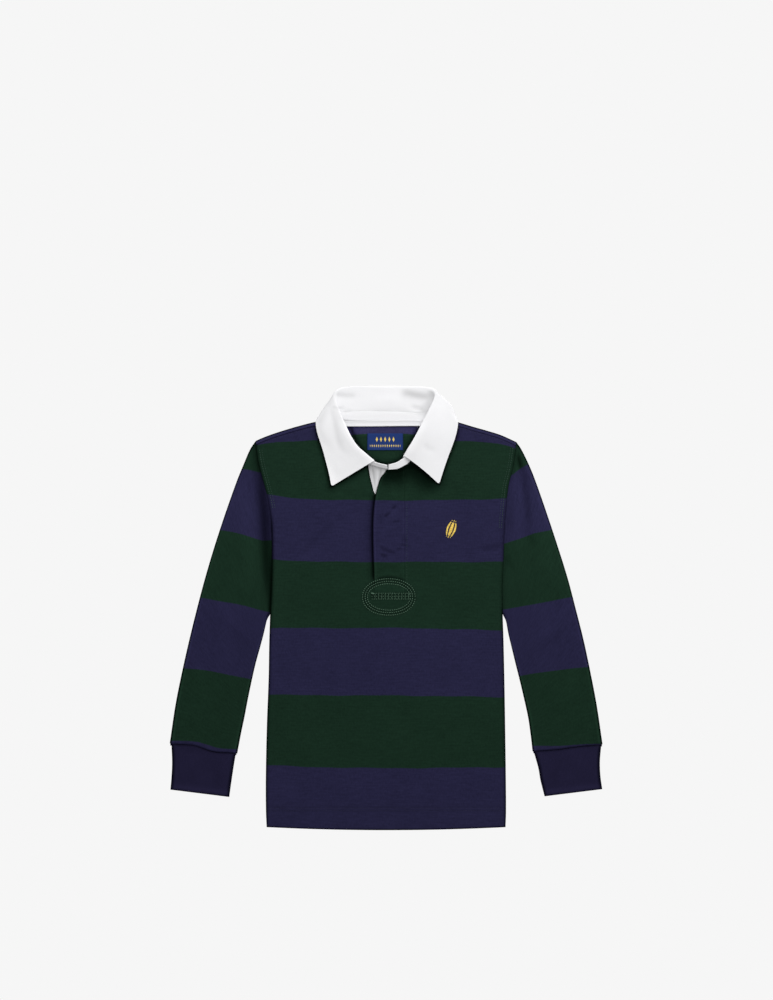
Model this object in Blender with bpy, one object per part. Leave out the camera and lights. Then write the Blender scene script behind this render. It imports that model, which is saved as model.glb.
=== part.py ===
"""A child's long-sleeved rugby shirt, laid flat on its back.

It lies on the plane Z = 0 with its front up and its collar towards +Y. Left and right are the wearer's,
so the right sleeve is at -X. Every length is in millimetres until a mesh is made.

The pieces are those a maker cuts and sews: back, front, placket flap, under placket, two sleeves, two
rib cuffs, collar stand, collar fall, neck tape and label. Each is a wall between an outer and an inner
face, SEAM_GAP away from its neighbours.
"""

import math
from collections import namedtuple

import bmesh
import bpy
from mathutils import Vector

MM = 0.001
UP = Vector((0.0, 0.0, 1.0))

# Cloth walls.
SEAM_GAP = 0.3
JERSEY = 1.2
HEM_JERSEY = 1.9
RIB = 1.8
TWILL = 1.4
UNDER_TWILL = 1.0
TAPE = 0.8
LABEL = 0.6

# How high the laid garment stands.
EDGE_RADIUS = 2.3
EDGE_HEIGHT = 2 * EDGE_RADIUS
FRONT_HEIGHT = 4.0
PLACKET_RISE = 0.6
NECK_RISE = 1.2
FLAP_RISE = 0.7
FALL_LIFT = 1.9

# Body lines.
HEM_EDGE_Y = -262.8
HEM_SAG = 3.6
HEM_HALF_WIDTH = 142.0
HEM_DEPTH = 21.6
UNDERARM_Y = -8.0
FAN_Y = 150.0
FAN_STEPS = 6
NECK_HALF_WIDTH = 62.0
BACK_NECK_Y = 223.8
SEAM_FORWARD = 4.8
NOTCH_Y = 13.8
STITCH_X = 21.6
STRIPE_LINES = (-190.8, -106.8, -24.0, 56.4, 129.6, 199.8)
SLEEVE_STRIPE_LINES = (-170.0, -82.3, 5.4, 87.0, 169.4)
SLEEVE_STRIPE_TILT = 0.17
SLEEVE_MIDDLE_X = 180.0

BodyRow = namedtuple("BodyRow", "y right left")
BODY_EDGES = (
    BodyRow(-262.8, -143.2, 143.4),
    BodyRow(-244.0, -144.0, 144.0),
    BodyRow(-206.0, -144.2, 143.8),
    BodyRow(-144.0, -143.0, 143.0),
    BodyRow(-84.0, -140.8, 142.0),
    BodyRow(-40.0, -140.0, 141.0),
    BodyRow(-8.0, -139.0, 140.0),
    BodyRow(22.0, -137.6, 139.2),
    BodyRow(58.0, -136.8, 140.6),
    BodyRow(94.0, -136.9, 141.8),
    BodyRow(118.0, -137.6, 143.6),
    BodyRow(133.0, -139.4, 144.8),
    BodyRow(149.0, -142.8, 146.2),
    BodyRow(163.0, -147.2, 148.6),
    BodyRow(180.0, -152.2, 152.2),
    BodyRow(200.0, -156.0, 156.2),
)

ShoulderRow = namedtuple("ShoulderRow", "reach right_y left_y")
SHOULDERS = (
    ShoulderRow(62.0, 227.4, 227.2),
    ShoulderRow(85.0, 223.3, 223.2),
    ShoulderRow(103.0, 218.8, 217.9),
    ShoulderRow(121.0, 213.6, 212.8),
    ShoulderRow(137.0, 208.4, 207.8),
    ShoulderRow(149.0, 203.8, 202.6),
    ShoulderRow(157.0, 200.2, 198.8),
)

NeckRow = namedtuple("NeckRow", "x y")
FRONT_NECK = (
    NeckRow(-62.0, 221.5),
    NeckRow(-54.0, 210.5),
    NeckRow(-45.0, 196.0),
    NeckRow(-36.0, 184.5),
    NeckRow(-26.0, 176.0),
    NeckRow(-17.0, 171.3),
    NeckRow(-8.0, 168.5),
    NeckRow(3.0, 167.2),
    NeckRow(14.4, 169.0),
    NeckRow(24.0, 174.2),
    NeckRow(32.0, 181.5),
    NeckRow(40.0, 193.0),
    NeckRow(51.0, 208.0),
    NeckRow(62.0, 220.5),
)

# The slit: the front's own edge on the wearer's right, and the flap's edge that laps it.
SlitRow = namedtuple("SlitRow", "y front flap")
SLIT = (
    SlitRow(-270.0, -17.6, -16.9),
    SlitRow(36.0, -17.6, -16.9),
    SlitRow(81.6, -16.0, -15.2),
    SlitRow(118.0, -14.6, -13.7),
    SlitRow(136.0, -13.8, -11.6),
    SlitRow(146.4, -15.4, -9.0),
    SlitRow(156.0, -17.6, -5.6),
    SlitRow(162.0, -18.7, -2.4),
    SlitRow(171.0, -20.2, 3.2),
)

Fold = namedtuple("Fold", "x0 y0 x1 y1 rise reach")
BODY_FOLDS = (
    Fold(-122, 72, -62, 124, 0.9, 8),
    Fold(-110, 60, -46, 114, -0.7, 7),
    Fold(-100, 128, -52, 96, 0.5, 7),
    Fold(104, 68, 146, 78, -0.9, 6),
    Fold(108, 52, 148, 56, 0.6, 8),
    Fold(-52, 150, -12, 118, 0.5, 8),
    Fold(34, 160, 70, 112, 0.5, 9),
    Fold(-128, -60, -40, -86, 0.4, 16),
    Fold(30, -150, 128, -128, 0.4, 18),
    Fold(-96, -226, 8, -214, 0.3, 14),
)
RIGHT_SLEEVE_FOLDS = (
    Fold(-150, 176, -141, -4, -2.0, 9),
    Fold(-176, 168, -172, -10, 2.4, 17),
    Fold(-226, 6, -186, -34, 0.8, 10),
    Fold(-236, -60, -198, -120, 0.7, 12),
)
LEFT_SLEEVE_FOLDS = (
    Fold(158, 184, 175, 52, -1.9, 8),
    Fold(184, 150, 204, 12, 1.8, 15),
    Fold(150, 150, 152, 20, 0.9, 9),
    Fold(228, 0, 188, -44, 0.7, 11),
    Fold(238, -70, 200, -128, 0.7, 12),
)

# Sleeves: the outer and inner silhouette, and how much of the armhole's curve a section keeps.
SleeveRow = namedtuple("SleeveRow", "outer_x outer_y inner_x inner_y armhole_share")
RIGHT_SLEEVE = (
    SleeveRow(-156.4, 200.3, -139.7, -6.6, 1.0),
    SleeveRow(-163.4, 189.6, -141.4, -10.0, 0.86),
    SleeveRow(-171.6, 170.4, -142.8, -14.0, 0.68),
    SleeveRow(-179.6, 150.6, -144.2, -20.0, 0.50),
    SleeveRow(-193.0, 112.8, -147.0, -32.0, 0.28),
    SleeveRow(-205.6, 74.4, -151.0, -47.0, 0.12),
    SleeveRow(-217.0, 36.0, -156.2, -66.0, 0.03),
    SleeveRow(-227.2, -2.4, -160.8, -86.0, 0.0),
    SleeveRow(-236.6, -40.8, -165.4, -108.0, 0.0),
    SleeveRow(-245.2, -79.2, -169.8, -131.0, 0.0),
    SleeveRow(-252.8, -117.6, -173.8, -150.0, 0.0),
    SleeveRow(-259.4, -161.0, -177.2, -170.6, 0.0),
)
LEFT_SLEEVE = (
    SleeveRow(156.6, 199.0, 140.6, -6.6, 1.0),
    SleeveRow(162.8, 189.6, 142.0, -10.0, 0.86),
    SleeveRow(171.6, 171.6, 143.4, -14.0, 0.68),
    SleeveRow(179.8, 151.2, 144.8, -20.0, 0.50),
    SleeveRow(193.2, 112.8, 147.0, -32.0, 0.28),
    SleeveRow(205.9, 74.4, 150.6, -47.0, 0.12),
    SleeveRow(217.9, 36.0, 155.2, -66.0, 0.03),
    SleeveRow(228.0, -2.4, 160.2, -86.0, 0.0),
    SleeveRow(237.6, -40.8, 165.4, -108.0, 0.0),
    SleeveRow(245.7, -79.2, 170.4, -131.0, 0.0),
    SleeveRow(253.0, -117.6, 173.2, -150.0, 0.0),
    SleeveRow(259.8, -163.6, 175.8, -172.0, 0.0),
)

CuffRow = namedtuple("CuffRow", "outer_x outer_y inner_x inner_y")
RIGHT_CUFF = (
    CuffRow(-257.4, -161.6, -179.0, -170.8),
    CuffRow(-256.6, -184.0, -182.8, -190.6),
    CuffRow(-257.2, -201.0, -185.4, -208.0),
    CuffRow(-258.6, -217.8, -188.0, -226.6),
)
LEFT_CUFF = (
    CuffRow(258.2, -164.0, 177.2, -172.2),
    CuffRow(256.6, -184.0, 182.6, -191.4),
    CuffRow(257.2, -201.0, 185.4, -207.0),
    CuffRow(259.4, -217.2, 190.2, -225.8),
)
RIGHT_CUFF_WAVE = 2.6
LEFT_CUFF_WAVE = 0.6
RIBS = 24
RIB_RELIEF = 0.35

# Collar sections, from the wearer's right front round the back of the neck to the left front: where
# the stand leaves the neck seam, the crest of the roll, and the fall's outer edge, all on the middle
# of the wall. seam_share is how far up from neck to crest the stand ends. flare swells the fall.
CollarRow = namedtuple(
    "CollarRow",
    "neck_x neck_y neck_z seam_share roll_x roll_y roll_z edge_x edge_y edge_z flare",
)
COLLAR = (
    CollarRow(-17.5, 172.8, 4.9, 0.55, -14.4, 176.4, 10.0, -63.2, 147.4, 5.4, 0.8),
    CollarRow(-26.3, 177.8, 4.8, 0.55, -25.4, 184.6, 12.0, -67.6, 161.0, 5.3, 1.0),
    CollarRow(-35.1, 185.5, 4.6, 0.55, -34.8, 194.4, 13.2, -72.4, 177.6, 5.2, 1.2),
    CollarRow(-43.9, 196.9, 4.5, 0.52, -43.2, 207.0, 13.8, -76.6, 192.6, 5.6, 1.2),
    CollarRow(-51.4, 208.9, 4.8, 0.50, -49.4, 220.2, 13.4, -81.6, 207.6, 6.3, 1.2),
    CollarRow(-57.2, 217.9, 5.4, 0.47, -54.6, 231.6, 12.2, -83.8, 218.0, 6.6, 1.2),
    CollarRow(-60.0, 223.4, 5.6, 0.44, -58.8, 242.4, 10.6, -83.8, 224.8, 6.2, 1.2),
    CollarRow(-59.6, 228.0, 4.4, 0.40, -61.4, 251.0, 8.8, -81.2, 227.2, 2.9, 1.4),
    CollarRow(-55.6, 227.2, 3.4, 0.37, -61.0, 257.8, 6.8, -74.4, 225.6, 1.1, 1.4),
    CollarRow(-49.6, 225.8, 2.9, 0.35, -56.6, 262.4, 4.8, -64.0, 220.8, 0.8, 1.0),
    CollarRow(-40.0, 225.2, 2.8, 0.34, -47.0, 264.9, 3.2, -49.2, 218.8, 0.72, 0.0),
    CollarRow(-24.0, 225.0, 2.8, 0.34, -29.0, 265.6, 2.4, -28.8, 218.4, 0.72, 0.0),
    CollarRow(0.0, 225.0, 2.8, 0.34, 0.0, 265.8, 2.3, 0.0, 218.4, 0.72, 0.0),
    CollarRow(24.0, 225.0, 2.8, 0.34, 27.0, 265.6, 2.4, 26.4, 218.4, 0.72, 0.0),
    CollarRow(40.0, 225.2, 2.8, 0.34, 45.6, 264.9, 3.2, 48.0, 218.8, 0.72, 0.0),
    CollarRow(49.6, 225.8, 2.9, 0.35, 55.8, 262.8, 4.8, 63.6, 220.8, 0.8, 2.0),
    CollarRow(55.6, 227.2, 3.4, 0.37, 59.6, 258.6, 6.8, 75.0, 225.6, 1.1, 4.6),
    CollarRow(59.6, 228.0, 4.4, 0.40, 58.6, 252.0, 8.8, 83.6, 226.2, 2.9, 4.4),
    CollarRow(59.8, 223.2, 5.6, 0.44, 54.8, 243.6, 10.6, 86.0, 223.4, 6.2, 2.6),
    CollarRow(57.0, 216.9, 5.4, 0.47, 50.0, 234.0, 12.2, 85.6, 215.8, 6.4, 1.6),
    CollarRow(50.0, 208.7, 4.8, 0.50, 44.6, 223.6, 13.4, 83.4, 206.4, 6.1, 1.2),
    CollarRow(43.0, 198.9, 4.5, 0.52, 38.8, 212.0, 13.8, 79.6, 195.0, 5.7, 1.2),
    CollarRow(35.8, 188.9, 4.6, 0.55, 33.2, 200.0, 13.2, 74.4, 181.4, 5.2, 1.2),
    CollarRow(29.3, 180.6, 4.8, 0.55, 27.6, 189.6, 12.0, 69.0, 165.6, 5.3, 1.0),
    CollarRow(23.3, 175.4, 4.9, 0.55, 22.8, 182.0, 10.0, 63.2, 148.8, 5.4, 0.8),
)
ROLL_RADIUS = 1.5
ROLL_STEPS = 4
LEAF_STEPS = 5
COLLAR_STEPS = 2
COLLAR_SEAM_GAP = 0.5

# The stand's bare ends in front of the leaves: its foot and its top edge.
StandRow = namedtuple("StandRow", "neck_x neck_y neck_z top_x top_y top_z")
RIGHT_STAND_END = (
    StandRow(1.6, 168.8, 4.6, 1.5, 171.4, 7.4),
    StandRow(-8.4, 169.9, 4.8, -7.6, 172.8, 7.6),
)
LEFT_STAND_END = (
    StandRow(14.0, 170.2, 4.9, 13.2, 174.4, 8.2),
    StandRow(3.0, 168.6, 4.9, 2.9, 171.8, 7.8),
)

# The under placket, tape and label lie on the back.
UNDER_LEFT_X = -24.0
UNDER_RIGHT_X = 18.0
UNDER_TOP_Y = 167.0
UNDER_BOTTOM_Y = 20.0
TAPE_HALF_LENGTH = 54.0
TAPE_WIDTH = 4.2
LABEL_CENTRE = (-1.4, 200.2)
LABEL_WIDTH = 43.0
LABEL_HEIGHT = 20.0

NAVY = (0.019, 0.018, 0.050)
GREEN = (0.010, 0.026, 0.016)
RIB_NAVY = (0.013, 0.012, 0.032)
WHITE = (0.84, 0.84, 0.86)
LABEL_BLUE = (0.020, 0.048, 0.180)
COTTON_ROUGHNESS = 0.9


def column_at(rows, key, column, place):
    """The value of a column on the smooth line through the rows, at a place in their key column."""
    knots = [getattr(row, key) for row in rows]
    values = [getattr(row, column) for row in rows]
    last = len(knots) - 1
    place = min(max(place, knots[0]), knots[last])
    first = next((i for i in range(last) if place <= knots[i + 1]), last - 1)

    def slope(index):
        low, high = max(index - 1, 0), min(index + 1, last)
        return (values[high] - values[low]) / (knots[high] - knots[low])

    span = knots[first + 1] - knots[first]
    t = (place - knots[first]) / span
    rise = values[first + 1] - values[first]
    start, end = slope(first) * span, slope(first + 1) * span
    return (
        values[first]
        + start * t
        + (3 * rise - 2 * start - end) * t**2
        + (start + end - 2 * rise) * t**3
    )


def ease(low, high, value):
    """0 below low, 1 above high, and a smooth step between them."""
    t = min(max((value - low) / (high - low), 0.0), 1.0)
    return t * t * (3 - 2 * t)


def relief(folds, x, y):
    """How far the folds raise or sink the cloth at a place."""
    total = 0.0
    for fold in folds:
        run_x, run_y = fold.x1 - fold.x0, fold.y1 - fold.y0
        length = math.hypot(run_x, run_y)
        share = ((x - fold.x0) * run_x + (y - fold.y0) * run_y) / length**2
        away = ((x - fold.x0) * run_y - (y - fold.y0) * run_x) / length
        ends = ease(0.0, 0.35, share) * ease(0.0, 0.35, 1 - share)
        total += fold.rise * ends * math.exp(-((away / fold.reach) ** 2))
    return total


def edge_x(side, y):
    """The body's silhouette: side -1 is the wearer's right, at -X."""
    return column_at(BODY_EDGES, "y", "right" if side < 0 else "left", y)


def shoulder_y(x):
    """The shoulder's silhouette."""
    return column_at(SHOULDERS, "reach", "right_y" if x < 0 else "left_y", abs(x))


def hem_y(x):
    """The hem, which sags a little between its corners."""
    return HEM_EDGE_Y - HEM_SAG * (1 - min(abs(x) / HEM_HALF_WIDTH, 1.0) ** 2)


def lift(x, y):
    """How far the fall that lies under the back neck raises what is on it."""
    return FALL_LIFT * (1 - ease(74.0, 92.0, abs(x))) * ease(190.0, 216.0, y)


def front_top(x):
    """Where the front ends: its neck seam, or its forward shoulder seam."""
    if abs(x) < NECK_HALF_WIDTH:
        return column_at(FRONT_NECK, "x", "y", x)
    return shoulder_y(x) - SEAM_FORWARD - SEAM_GAP


def back_top(x):
    """Where the back's flat part ends: its neck seam, or the foot of its shoulder turn."""
    if abs(x) < NECK_HALF_WIDTH:
        return BACK_NECK_Y
    return shoulder_y(x) - EDGE_RADIUS


def front_height(x, y):
    """The height of the front's upper face."""
    to_side = min(x - edge_x(-1, y), edge_x(1, y) - x)
    to_top = front_top(x) - y
    neck_share = 1 - ease(40.0, NECK_HALF_WIDTH, abs(x))
    side = (EDGE_HEIGHT - FRONT_HEIGHT) * (1 - ease(0.0, 18.0, to_side))
    top = EDGE_HEIGHT - FRONT_HEIGHT + (NECK_RISE - EDGE_HEIGHT + FRONT_HEIGHT) * neck_share
    placket = PLACKET_RISE * ease(8.0, 24.0, y)
    placket *= ease(-44.0, -26.0, x) * (1 - ease(STITCH_X + 4.0, STITCH_X + 22.0, x))
    rise = max(side, top * (1 - ease(0.0, 20.0, to_top)))
    folds = relief(BODY_FOLDS, x, y) * ease(2.0, 14.0, to_side) * ease(0.0, 14.0, to_top)
    return FRONT_HEIGHT + lift(x, y) + max(rise, placket) + folds


def body_levels():
    """The heights of a panel's straight rows, from above the hem to where they start to fan out."""
    levels = [-243.0, -240.5, -190.8, -148.0, -106.8, -65.0, -24.0, UNDERARM_Y]
    return levels + [3.0, NOTCH_Y, 34.0, 56.4, 76.0, 95.0, 112.0, 124.0, 137.0, FAN_Y]


def row_heights(x, top):
    """The Y of each of a panel's rows at x, from the hem to its top line."""
    fan = [FAN_Y + (top - FAN_Y) * step / FAN_STEPS for step in range(1, FAN_STEPS + 1)]
    return [hem_y(x)] + body_levels() + fan


def turn_share(y):
    """1 where the side seam turns the cloth over, 0 along the armhole, where a sleeve goes on."""
    return 1 - ease(UNDERARM_Y, UNDERARM_Y + 11.0, y)


SIDE_TURN = (0.0, 25.0, 55.0, 90.0)


def side_columns(side):
    """Columns of a side's turned edge: a function of y, and the turn's angle."""
    columns = []
    for angle in SIDE_TURN:
        inset = EDGE_RADIUS * (1 - math.cos(math.radians(angle)))
        columns.append((lambda y, inset=inset: edge_x(side, y) - side * inset, angle, side))
    return columns if side < 0 else columns[::-1]


def span_columns(start, end, steps):
    """Evenly spread columns between two lines, without the lines themselves."""
    return [
        (lambda y, share=step / steps: start(y) + (end(y) - start(y)) * share, 90.0, 0)
        for step in range(1, steps)
    ]


def line_column(line):
    """One column along a line."""
    return [(line, 90.0, 0)]


def inner_edge(side):
    """The line where a side's turned edge meets the flat of the panel."""
    return lambda y: edge_x(side, y) - side * EDGE_RADIUS


def fixed(x):
    """A line straight up the body."""
    return lambda y: x


def panel_grid(columns, top_of, height_of, wall_of, faces_up):
    """A panel's rows of (outer point, inner point), from hem to top and from -X to +X."""
    row_count = len(row_heights(0.0, BACK_NECK_Y))
    grid = [[None] * len(columns) for _ in range(row_count)]
    for c, (line, angle, side) in enumerate(columns):
        for r in range(row_count):
            y = FAN_Y
            for _ in range(10):
                x = line(y)
                y = row_heights(x, top_of(x))[r]
            turn = turn_share(y)
            tip = math.radians(angle)
            drop = turn * (EDGE_RADIUS - SEAM_GAP / 2) * (1 - math.sin(tip))
            z = height_of(x, y) - drop if faces_up else height_of(x, y) + drop
            facing = 1 if faces_up else -1
            out_z = facing * (1 - turn + turn * math.sin(tip))
            outward = Vector((side * turn * math.cos(tip), 0.0, out_z)).normalized()
            point = Vector((x, y, z))
            grid[r][c] = (point, point - outward * wall_of(y))
    return grid


def body_wall(y):
    """The jersey's thickness, which the turned-up hem adds to."""
    return JERSEY + (HEM_JERSEY - JERSEY) * (1 - ease(-243.0, -240.5, y))


def new_object(name, mesh, colours):
    """An object with its own material for each of its colours, in metres."""
    data = bpy.data.meshes.new(name)
    bmesh.ops.scale(mesh, vec=(MM, MM, MM), verts=mesh.verts)
    bmesh.ops.recalc_face_normals(mesh, faces=mesh.faces)
    mesh.to_mesh(data)
    mesh.free()
    data.shade_smooth()
    data.set_sharp_from_angle(angle=math.radians(50))
    for index, colour in enumerate(colours):
        material = bpy.data.materials.new(f"{name}_{index}")
        material.use_nodes = True
        shader = material.node_tree.nodes["Principled BSDF"]
        shader.inputs["Base Color"].default_value = (*colour, 1.0)
        shader.inputs["Roughness"].default_value = COTTON_ROUGHNESS
        shader.inputs["Metallic"].default_value = 0.0
        data.materials.append(material)
    built = bpy.data.objects.new(name, data)
    bpy.context.scene.collection.objects.link(built)
    return built


def add_wall(name, grid, colours, closed=False, left_out=(), stripe_of=None):
    """A closed wall over a grid of (outer, inner) points, in rows. A closed grid's rows are rings."""
    mesh = bmesh.new()
    made = {}
    rows, columns = len(grid), len(grid[0])

    def corner(layer, r, c):
        key = (layer, r, c % columns)
        if key not in made:
            made[key] = mesh.verts.new(grid[r][c % columns][layer])
        return made[key]

    def kept(r, c):
        if closed:
            c %= columns
        inside = 0 <= r < rows - 1 and 0 <= c < (columns if closed else columns - 1)
        return inside and (r, c) not in left_out

    def face(corners):
        made_face = mesh.faces.new(corners)
        if stripe_of:
            middle = sum((v.co for v in corners), Vector()) / len(corners)
            made_face.material_index = stripe_of(middle)

    for r in range(rows - 1):
        for c in range(columns if closed else columns - 1):
            if not kept(r, c):
                continue
            ring = [(r, c), (r, c + 1), (r + 1, c + 1), (r + 1, c)]
            face([corner(0, *at) for at in ring])
            face([corner(1, *at) for at in reversed(ring)])
            beyond = [(r - 1, c), (r, c + 1), (r + 1, c), (r, c - 1)]
            for side, (other_r, other_c) in enumerate(beyond):
                if not kept(other_r, other_c):
                    a, b = ring[side], ring[(side + 1) % 4]
                    face([corner(0, *b), corner(0, *a), corner(1, *a), corner(1, *b)])
    return new_object(name, mesh, colours)


def body_stripe(point):
    """The stripe at a point of the body: 0 is navy, 1 is green."""
    lines_above = sum(point.y < line for line in STRIPE_LINES)
    return lines_above % 2


SHOULDER_TURN = (30.0, 60.0, 90.0, 120.0, 150.0, 180.0)


def shoulder_row(columns, angle, forward):
    """A row of the cloth that turns over the shoulder, at an angle round the turn."""
    tip = math.radians(angle)
    out = Vector((0.0, math.sin(tip), -math.cos(tip)))
    row = []
    for line, _, _ in columns:
        y = BACK_NECK_Y
        for _ in range(10):
            x = line(y)
            y = shoulder_y(x) - EDGE_RADIUS - forward + EDGE_RADIUS * math.sin(tip)
        centre = Vector((x, y, EDGE_RADIUS + lift(x, y))) - Vector((0, EDGE_RADIUS * math.sin(tip), 0))
        row.append((centre + out * EDGE_RADIUS, centre + out * (EDGE_RADIUS - JERSEY)))
    return row


def build_back():
    """The back, whose shoulders turn over to the forward shoulder seams."""
    right_neck, left_neck = fixed(-NECK_HALF_WIDTH), fixed(NECK_HALF_WIDTH)
    columns = side_columns(-1) + span_columns(inner_edge(-1), right_neck, 6)
    columns += line_column(right_neck) + span_columns(right_neck, left_neck, 9)
    columns += line_column(left_neck) + span_columns(left_neck, inner_edge(1), 6) + side_columns(1)
    grid = panel_grid(columns, back_top, lift, body_wall, faces_up=False)
    first_turn_row = len(grid) - 1
    for angle in SHOULDER_TURN:
        grid.append(shoulder_row(columns, angle, 0.0))
    grid.append(shoulder_row(columns, 180.0, SEAM_FORWARD - EDGE_RADIUS))
    middles = [grid[0][c][0].x + grid[0][c + 1][0].x for c in range(len(columns) - 1)]
    neck_cells = [c for c, middle in enumerate(middles) if abs(middle) < 2 * NECK_HALF_WIDTH]
    left_out = {(r, c) for r in range(first_turn_row, len(grid) - 1) for c in neck_cells}
    add_wall("back", grid, (NAVY, GREEN), left_out=left_out, stripe_of=body_stripe)


def slit_line(column):
    """A line along one edge of the slit."""
    return lambda y: column_at(SLIT, "y", column, y)


def build_front():
    """The front, with its notch for the placket."""
    right_neck, left_neck = fixed(-NECK_HALF_WIDTH), fixed(NECK_HALF_WIDTH)
    slit, stitch = slit_line("front"), fixed(STITCH_X)
    columns = side_columns(-1) + span_columns(inner_edge(-1), right_neck, 8)
    columns += line_column(right_neck) + span_columns(right_neck, slit, 5)
    notch_start = len(columns)
    columns += line_column(slit) + span_columns(slit, stitch, 3)
    notch_end = len(columns)
    columns += line_column(stitch) + span_columns(stitch, left_neck, 5)
    columns += line_column(left_neck) + span_columns(left_neck, inner_edge(1), 8) + side_columns(1)
    grid = panel_grid(columns, front_top, front_height, body_wall, faces_up=True)
    first_row = 1 + body_levels().index(NOTCH_Y)
    left_out = {
        (r, c) for r in range(first_row, len(grid) - 1) for c in range(notch_start, notch_end)
    }
    add_wall("front", grid, (NAVY, GREEN), left_out=left_out, stripe_of=body_stripe)


def flap_height(x, y):
    """The flap rides over the under placket at its free edge and is level with the front at its seam."""
    from_edge = x - column_at(SLIT, "y", "flap", y)
    return front_height(x, y) + FLAP_RISE * (1 - ease(0.0, 22.0, from_edge))


def build_placket_flap():
    """The top strip of the placket, from the notch's foot to the neck seam."""
    edge, seam = slit_line("flap"), fixed(STITCH_X - SEAM_GAP)
    columns = line_column(edge) + span_columns(edge, seam, 4) + line_column(seam)
    grid = panel_grid(columns, front_top, flap_height, body_wall, faces_up=True)
    first_row = 1 + body_levels().index(NOTCH_Y)
    grid = grid[first_row:]
    for point, inside in grid[0]:
        point.y += SEAM_GAP
        inside.y += SEAM_GAP
    add_wall("placket_flap", grid, (NAVY, GREEN), stripe_of=body_stripe)


def strip_grid(lengthwise, crosswise, underside, wall):
    """A strip lying on something: rows of (upper, lower) points over the given places."""
    grid = []
    for y in lengthwise:
        row = []
        for x in crosswise(y):
            low = Vector((x, y, underside(x, y)))
            row.append((low + UP * wall, low))
        grid.append(row)
    return grid


def build_under_placket():
    """The white twill strip that the flap laps, raised to the stand at its top."""

    def underside(x, y):
        return JERSEY + SEAM_GAP + 0.6 * ease(130.0, UNDER_TOP_Y, y)

    rows = [UNDER_BOTTOM_Y, 56.0, 95.0, 118.0, 137.0, 148.0, 158.0, UNDER_TOP_Y]
    width = UNDER_RIGHT_X - UNDER_LEFT_X
    across = [UNDER_LEFT_X + width * step / 4 for step in range(5)]
    grid = strip_grid(rows, lambda y: across, underside, UNDER_TWILL)
    add_wall("under_placket", grid, (WHITE,))


def back_inside(x, y):
    """The underside of what lies on the back's inner face."""
    return lift(x, y) + JERSEY + SEAM_GAP


def build_neck_tape():
    """White tape along the back neck seam."""
    steps = 12
    across = [TAPE_HALF_LENGTH * (2 * step / steps - 1) for step in range(steps + 1)]
    top = BACK_NECK_Y - 0.2
    rows = [top - TAPE_WIDTH, top - TAPE_WIDTH / 2, top]
    grid = strip_grid(rows, lambda y: across, back_inside, TAPE)
    add_wall("neck_tape", grid, (WHITE,))


def build_neck_label():
    """A flat woven label on the inside of the back."""
    centre_x, centre_y = LABEL_CENTRE
    rows = [centre_y + LABEL_HEIGHT * (step / 6 - 0.5) for step in range(7)]
    across = [centre_x + LABEL_WIDTH * (step / 4 - 0.5) for step in range(5)]
    grid = strip_grid(rows, lambda y: across, back_inside, LABEL)
    add_wall("neck_label", grid, (LABEL_BLUE,))


def flat_ring(outer, inner, upper, lower, wall, height_at):
    """A flattened ring of (outer, inner) points. upper and lower give its points from the outer
    silhouette to the inner one, and height_at the height of its upper face."""
    along = (outer - inner).normalized()
    ring = []
    for point in upper:
        top = Vector((point.x, point.y, height_at(point.x, point.y)))
        ring.append((top, top - UP * wall))
    for tip, direction in ((inner, -along), (outer, along)):
        centre = tip - direction * EDGE_RADIUS + UP * EDGE_RADIUS
        angles = (45.0, 0.0, -45.0) if tip is inner else (-45.0, 0.0, 45.0)
        for angle in angles:
            turned = math.radians(angle)
            out = direction * math.cos(turned) + UP * math.sin(turned)
            ring.append((centre + out * EDGE_RADIUS, centre + out * (EDGE_RADIUS - wall)))
        if tip is inner:
            ring += [(point.copy(), point + UP * wall) for point in reversed(lower)]
    return ring


def armhole_points(side):
    """The sleeve's cap line, a seam's gap outside the body's armhole, from shoulder to underarm."""
    top = shoulder_y(edge_x(side, 199.0)) - SEAM_FORWARD
    heights = [y for y in row_heights(edge_x(side, 199.0), top) if y > UNDERARM_Y]
    outside = SEAM_GAP + 0.1
    return [Vector((edge_x(side, y) + side * outside, y, 0.0)) for y in reversed(heights)]


def sleeve_lines(rows, side):
    """For each section: its two silhouette points, and the shares and points of the line between."""
    cap = armhole_points(side)
    first = rows[0]
    shares = [(cap[0].y - point.y) / (cap[0].y - cap[-1].y) for point in cap]
    sections = []
    for row in rows:
        outer = Vector((row.outer_x, row.outer_y, 0.0))
        inner = Vector((row.inner_x, row.inner_y, 0.0))
        along = (outer - inner).normalized()
        start, end = outer - along * EDGE_RADIUS, inner + along * EDGE_RADIUS
        if row is first:
            straight = [start.lerp(end, share) for share in shares]
            bend = [point - base for point, base in zip(cap, straight)]
        line = [
            start.lerp(end, share) + swing * row.armhole_share
            for share, swing in zip(shares, bend)
        ]
        sections.append((outer, inner, shares, line))
    return sections


def cuff_wave(size, share):
    """How far the cuff seam strays along the sleeve, at a share of its width from the outer side."""
    return -size * math.sin(2 * math.pi * share) * math.sin(math.pi * share)


def sleeve_height(folds, outer, inner):
    """The height of a sleeve's upper face, whose folds fade towards its two silhouettes."""

    def height(x, y):
        to_edge = min((Vector((x, y, 0)) - tip).length for tip in (outer, inner))
        return EDGE_HEIGHT + relief(folds, x, y) * ease(2.0, 14.0, to_edge)

    return height


def sleeve_stripe(point):
    """The stripe at a point of a sleeve, whose stripes tilt down towards the body."""
    level = point.y - SLEEVE_STRIPE_TILT * (abs(point.x) - SLEEVE_MIDDLE_X)
    return (1 + sum(level < line for line in SLEEVE_STRIPE_LINES)) % 2


def down_sleeve(outer, inner, side):
    """The way towards the cuff, square to a section."""
    return Vector((outer.y - inner.y, inner.x - outer.x, 0.0)).normalized() * side


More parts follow.
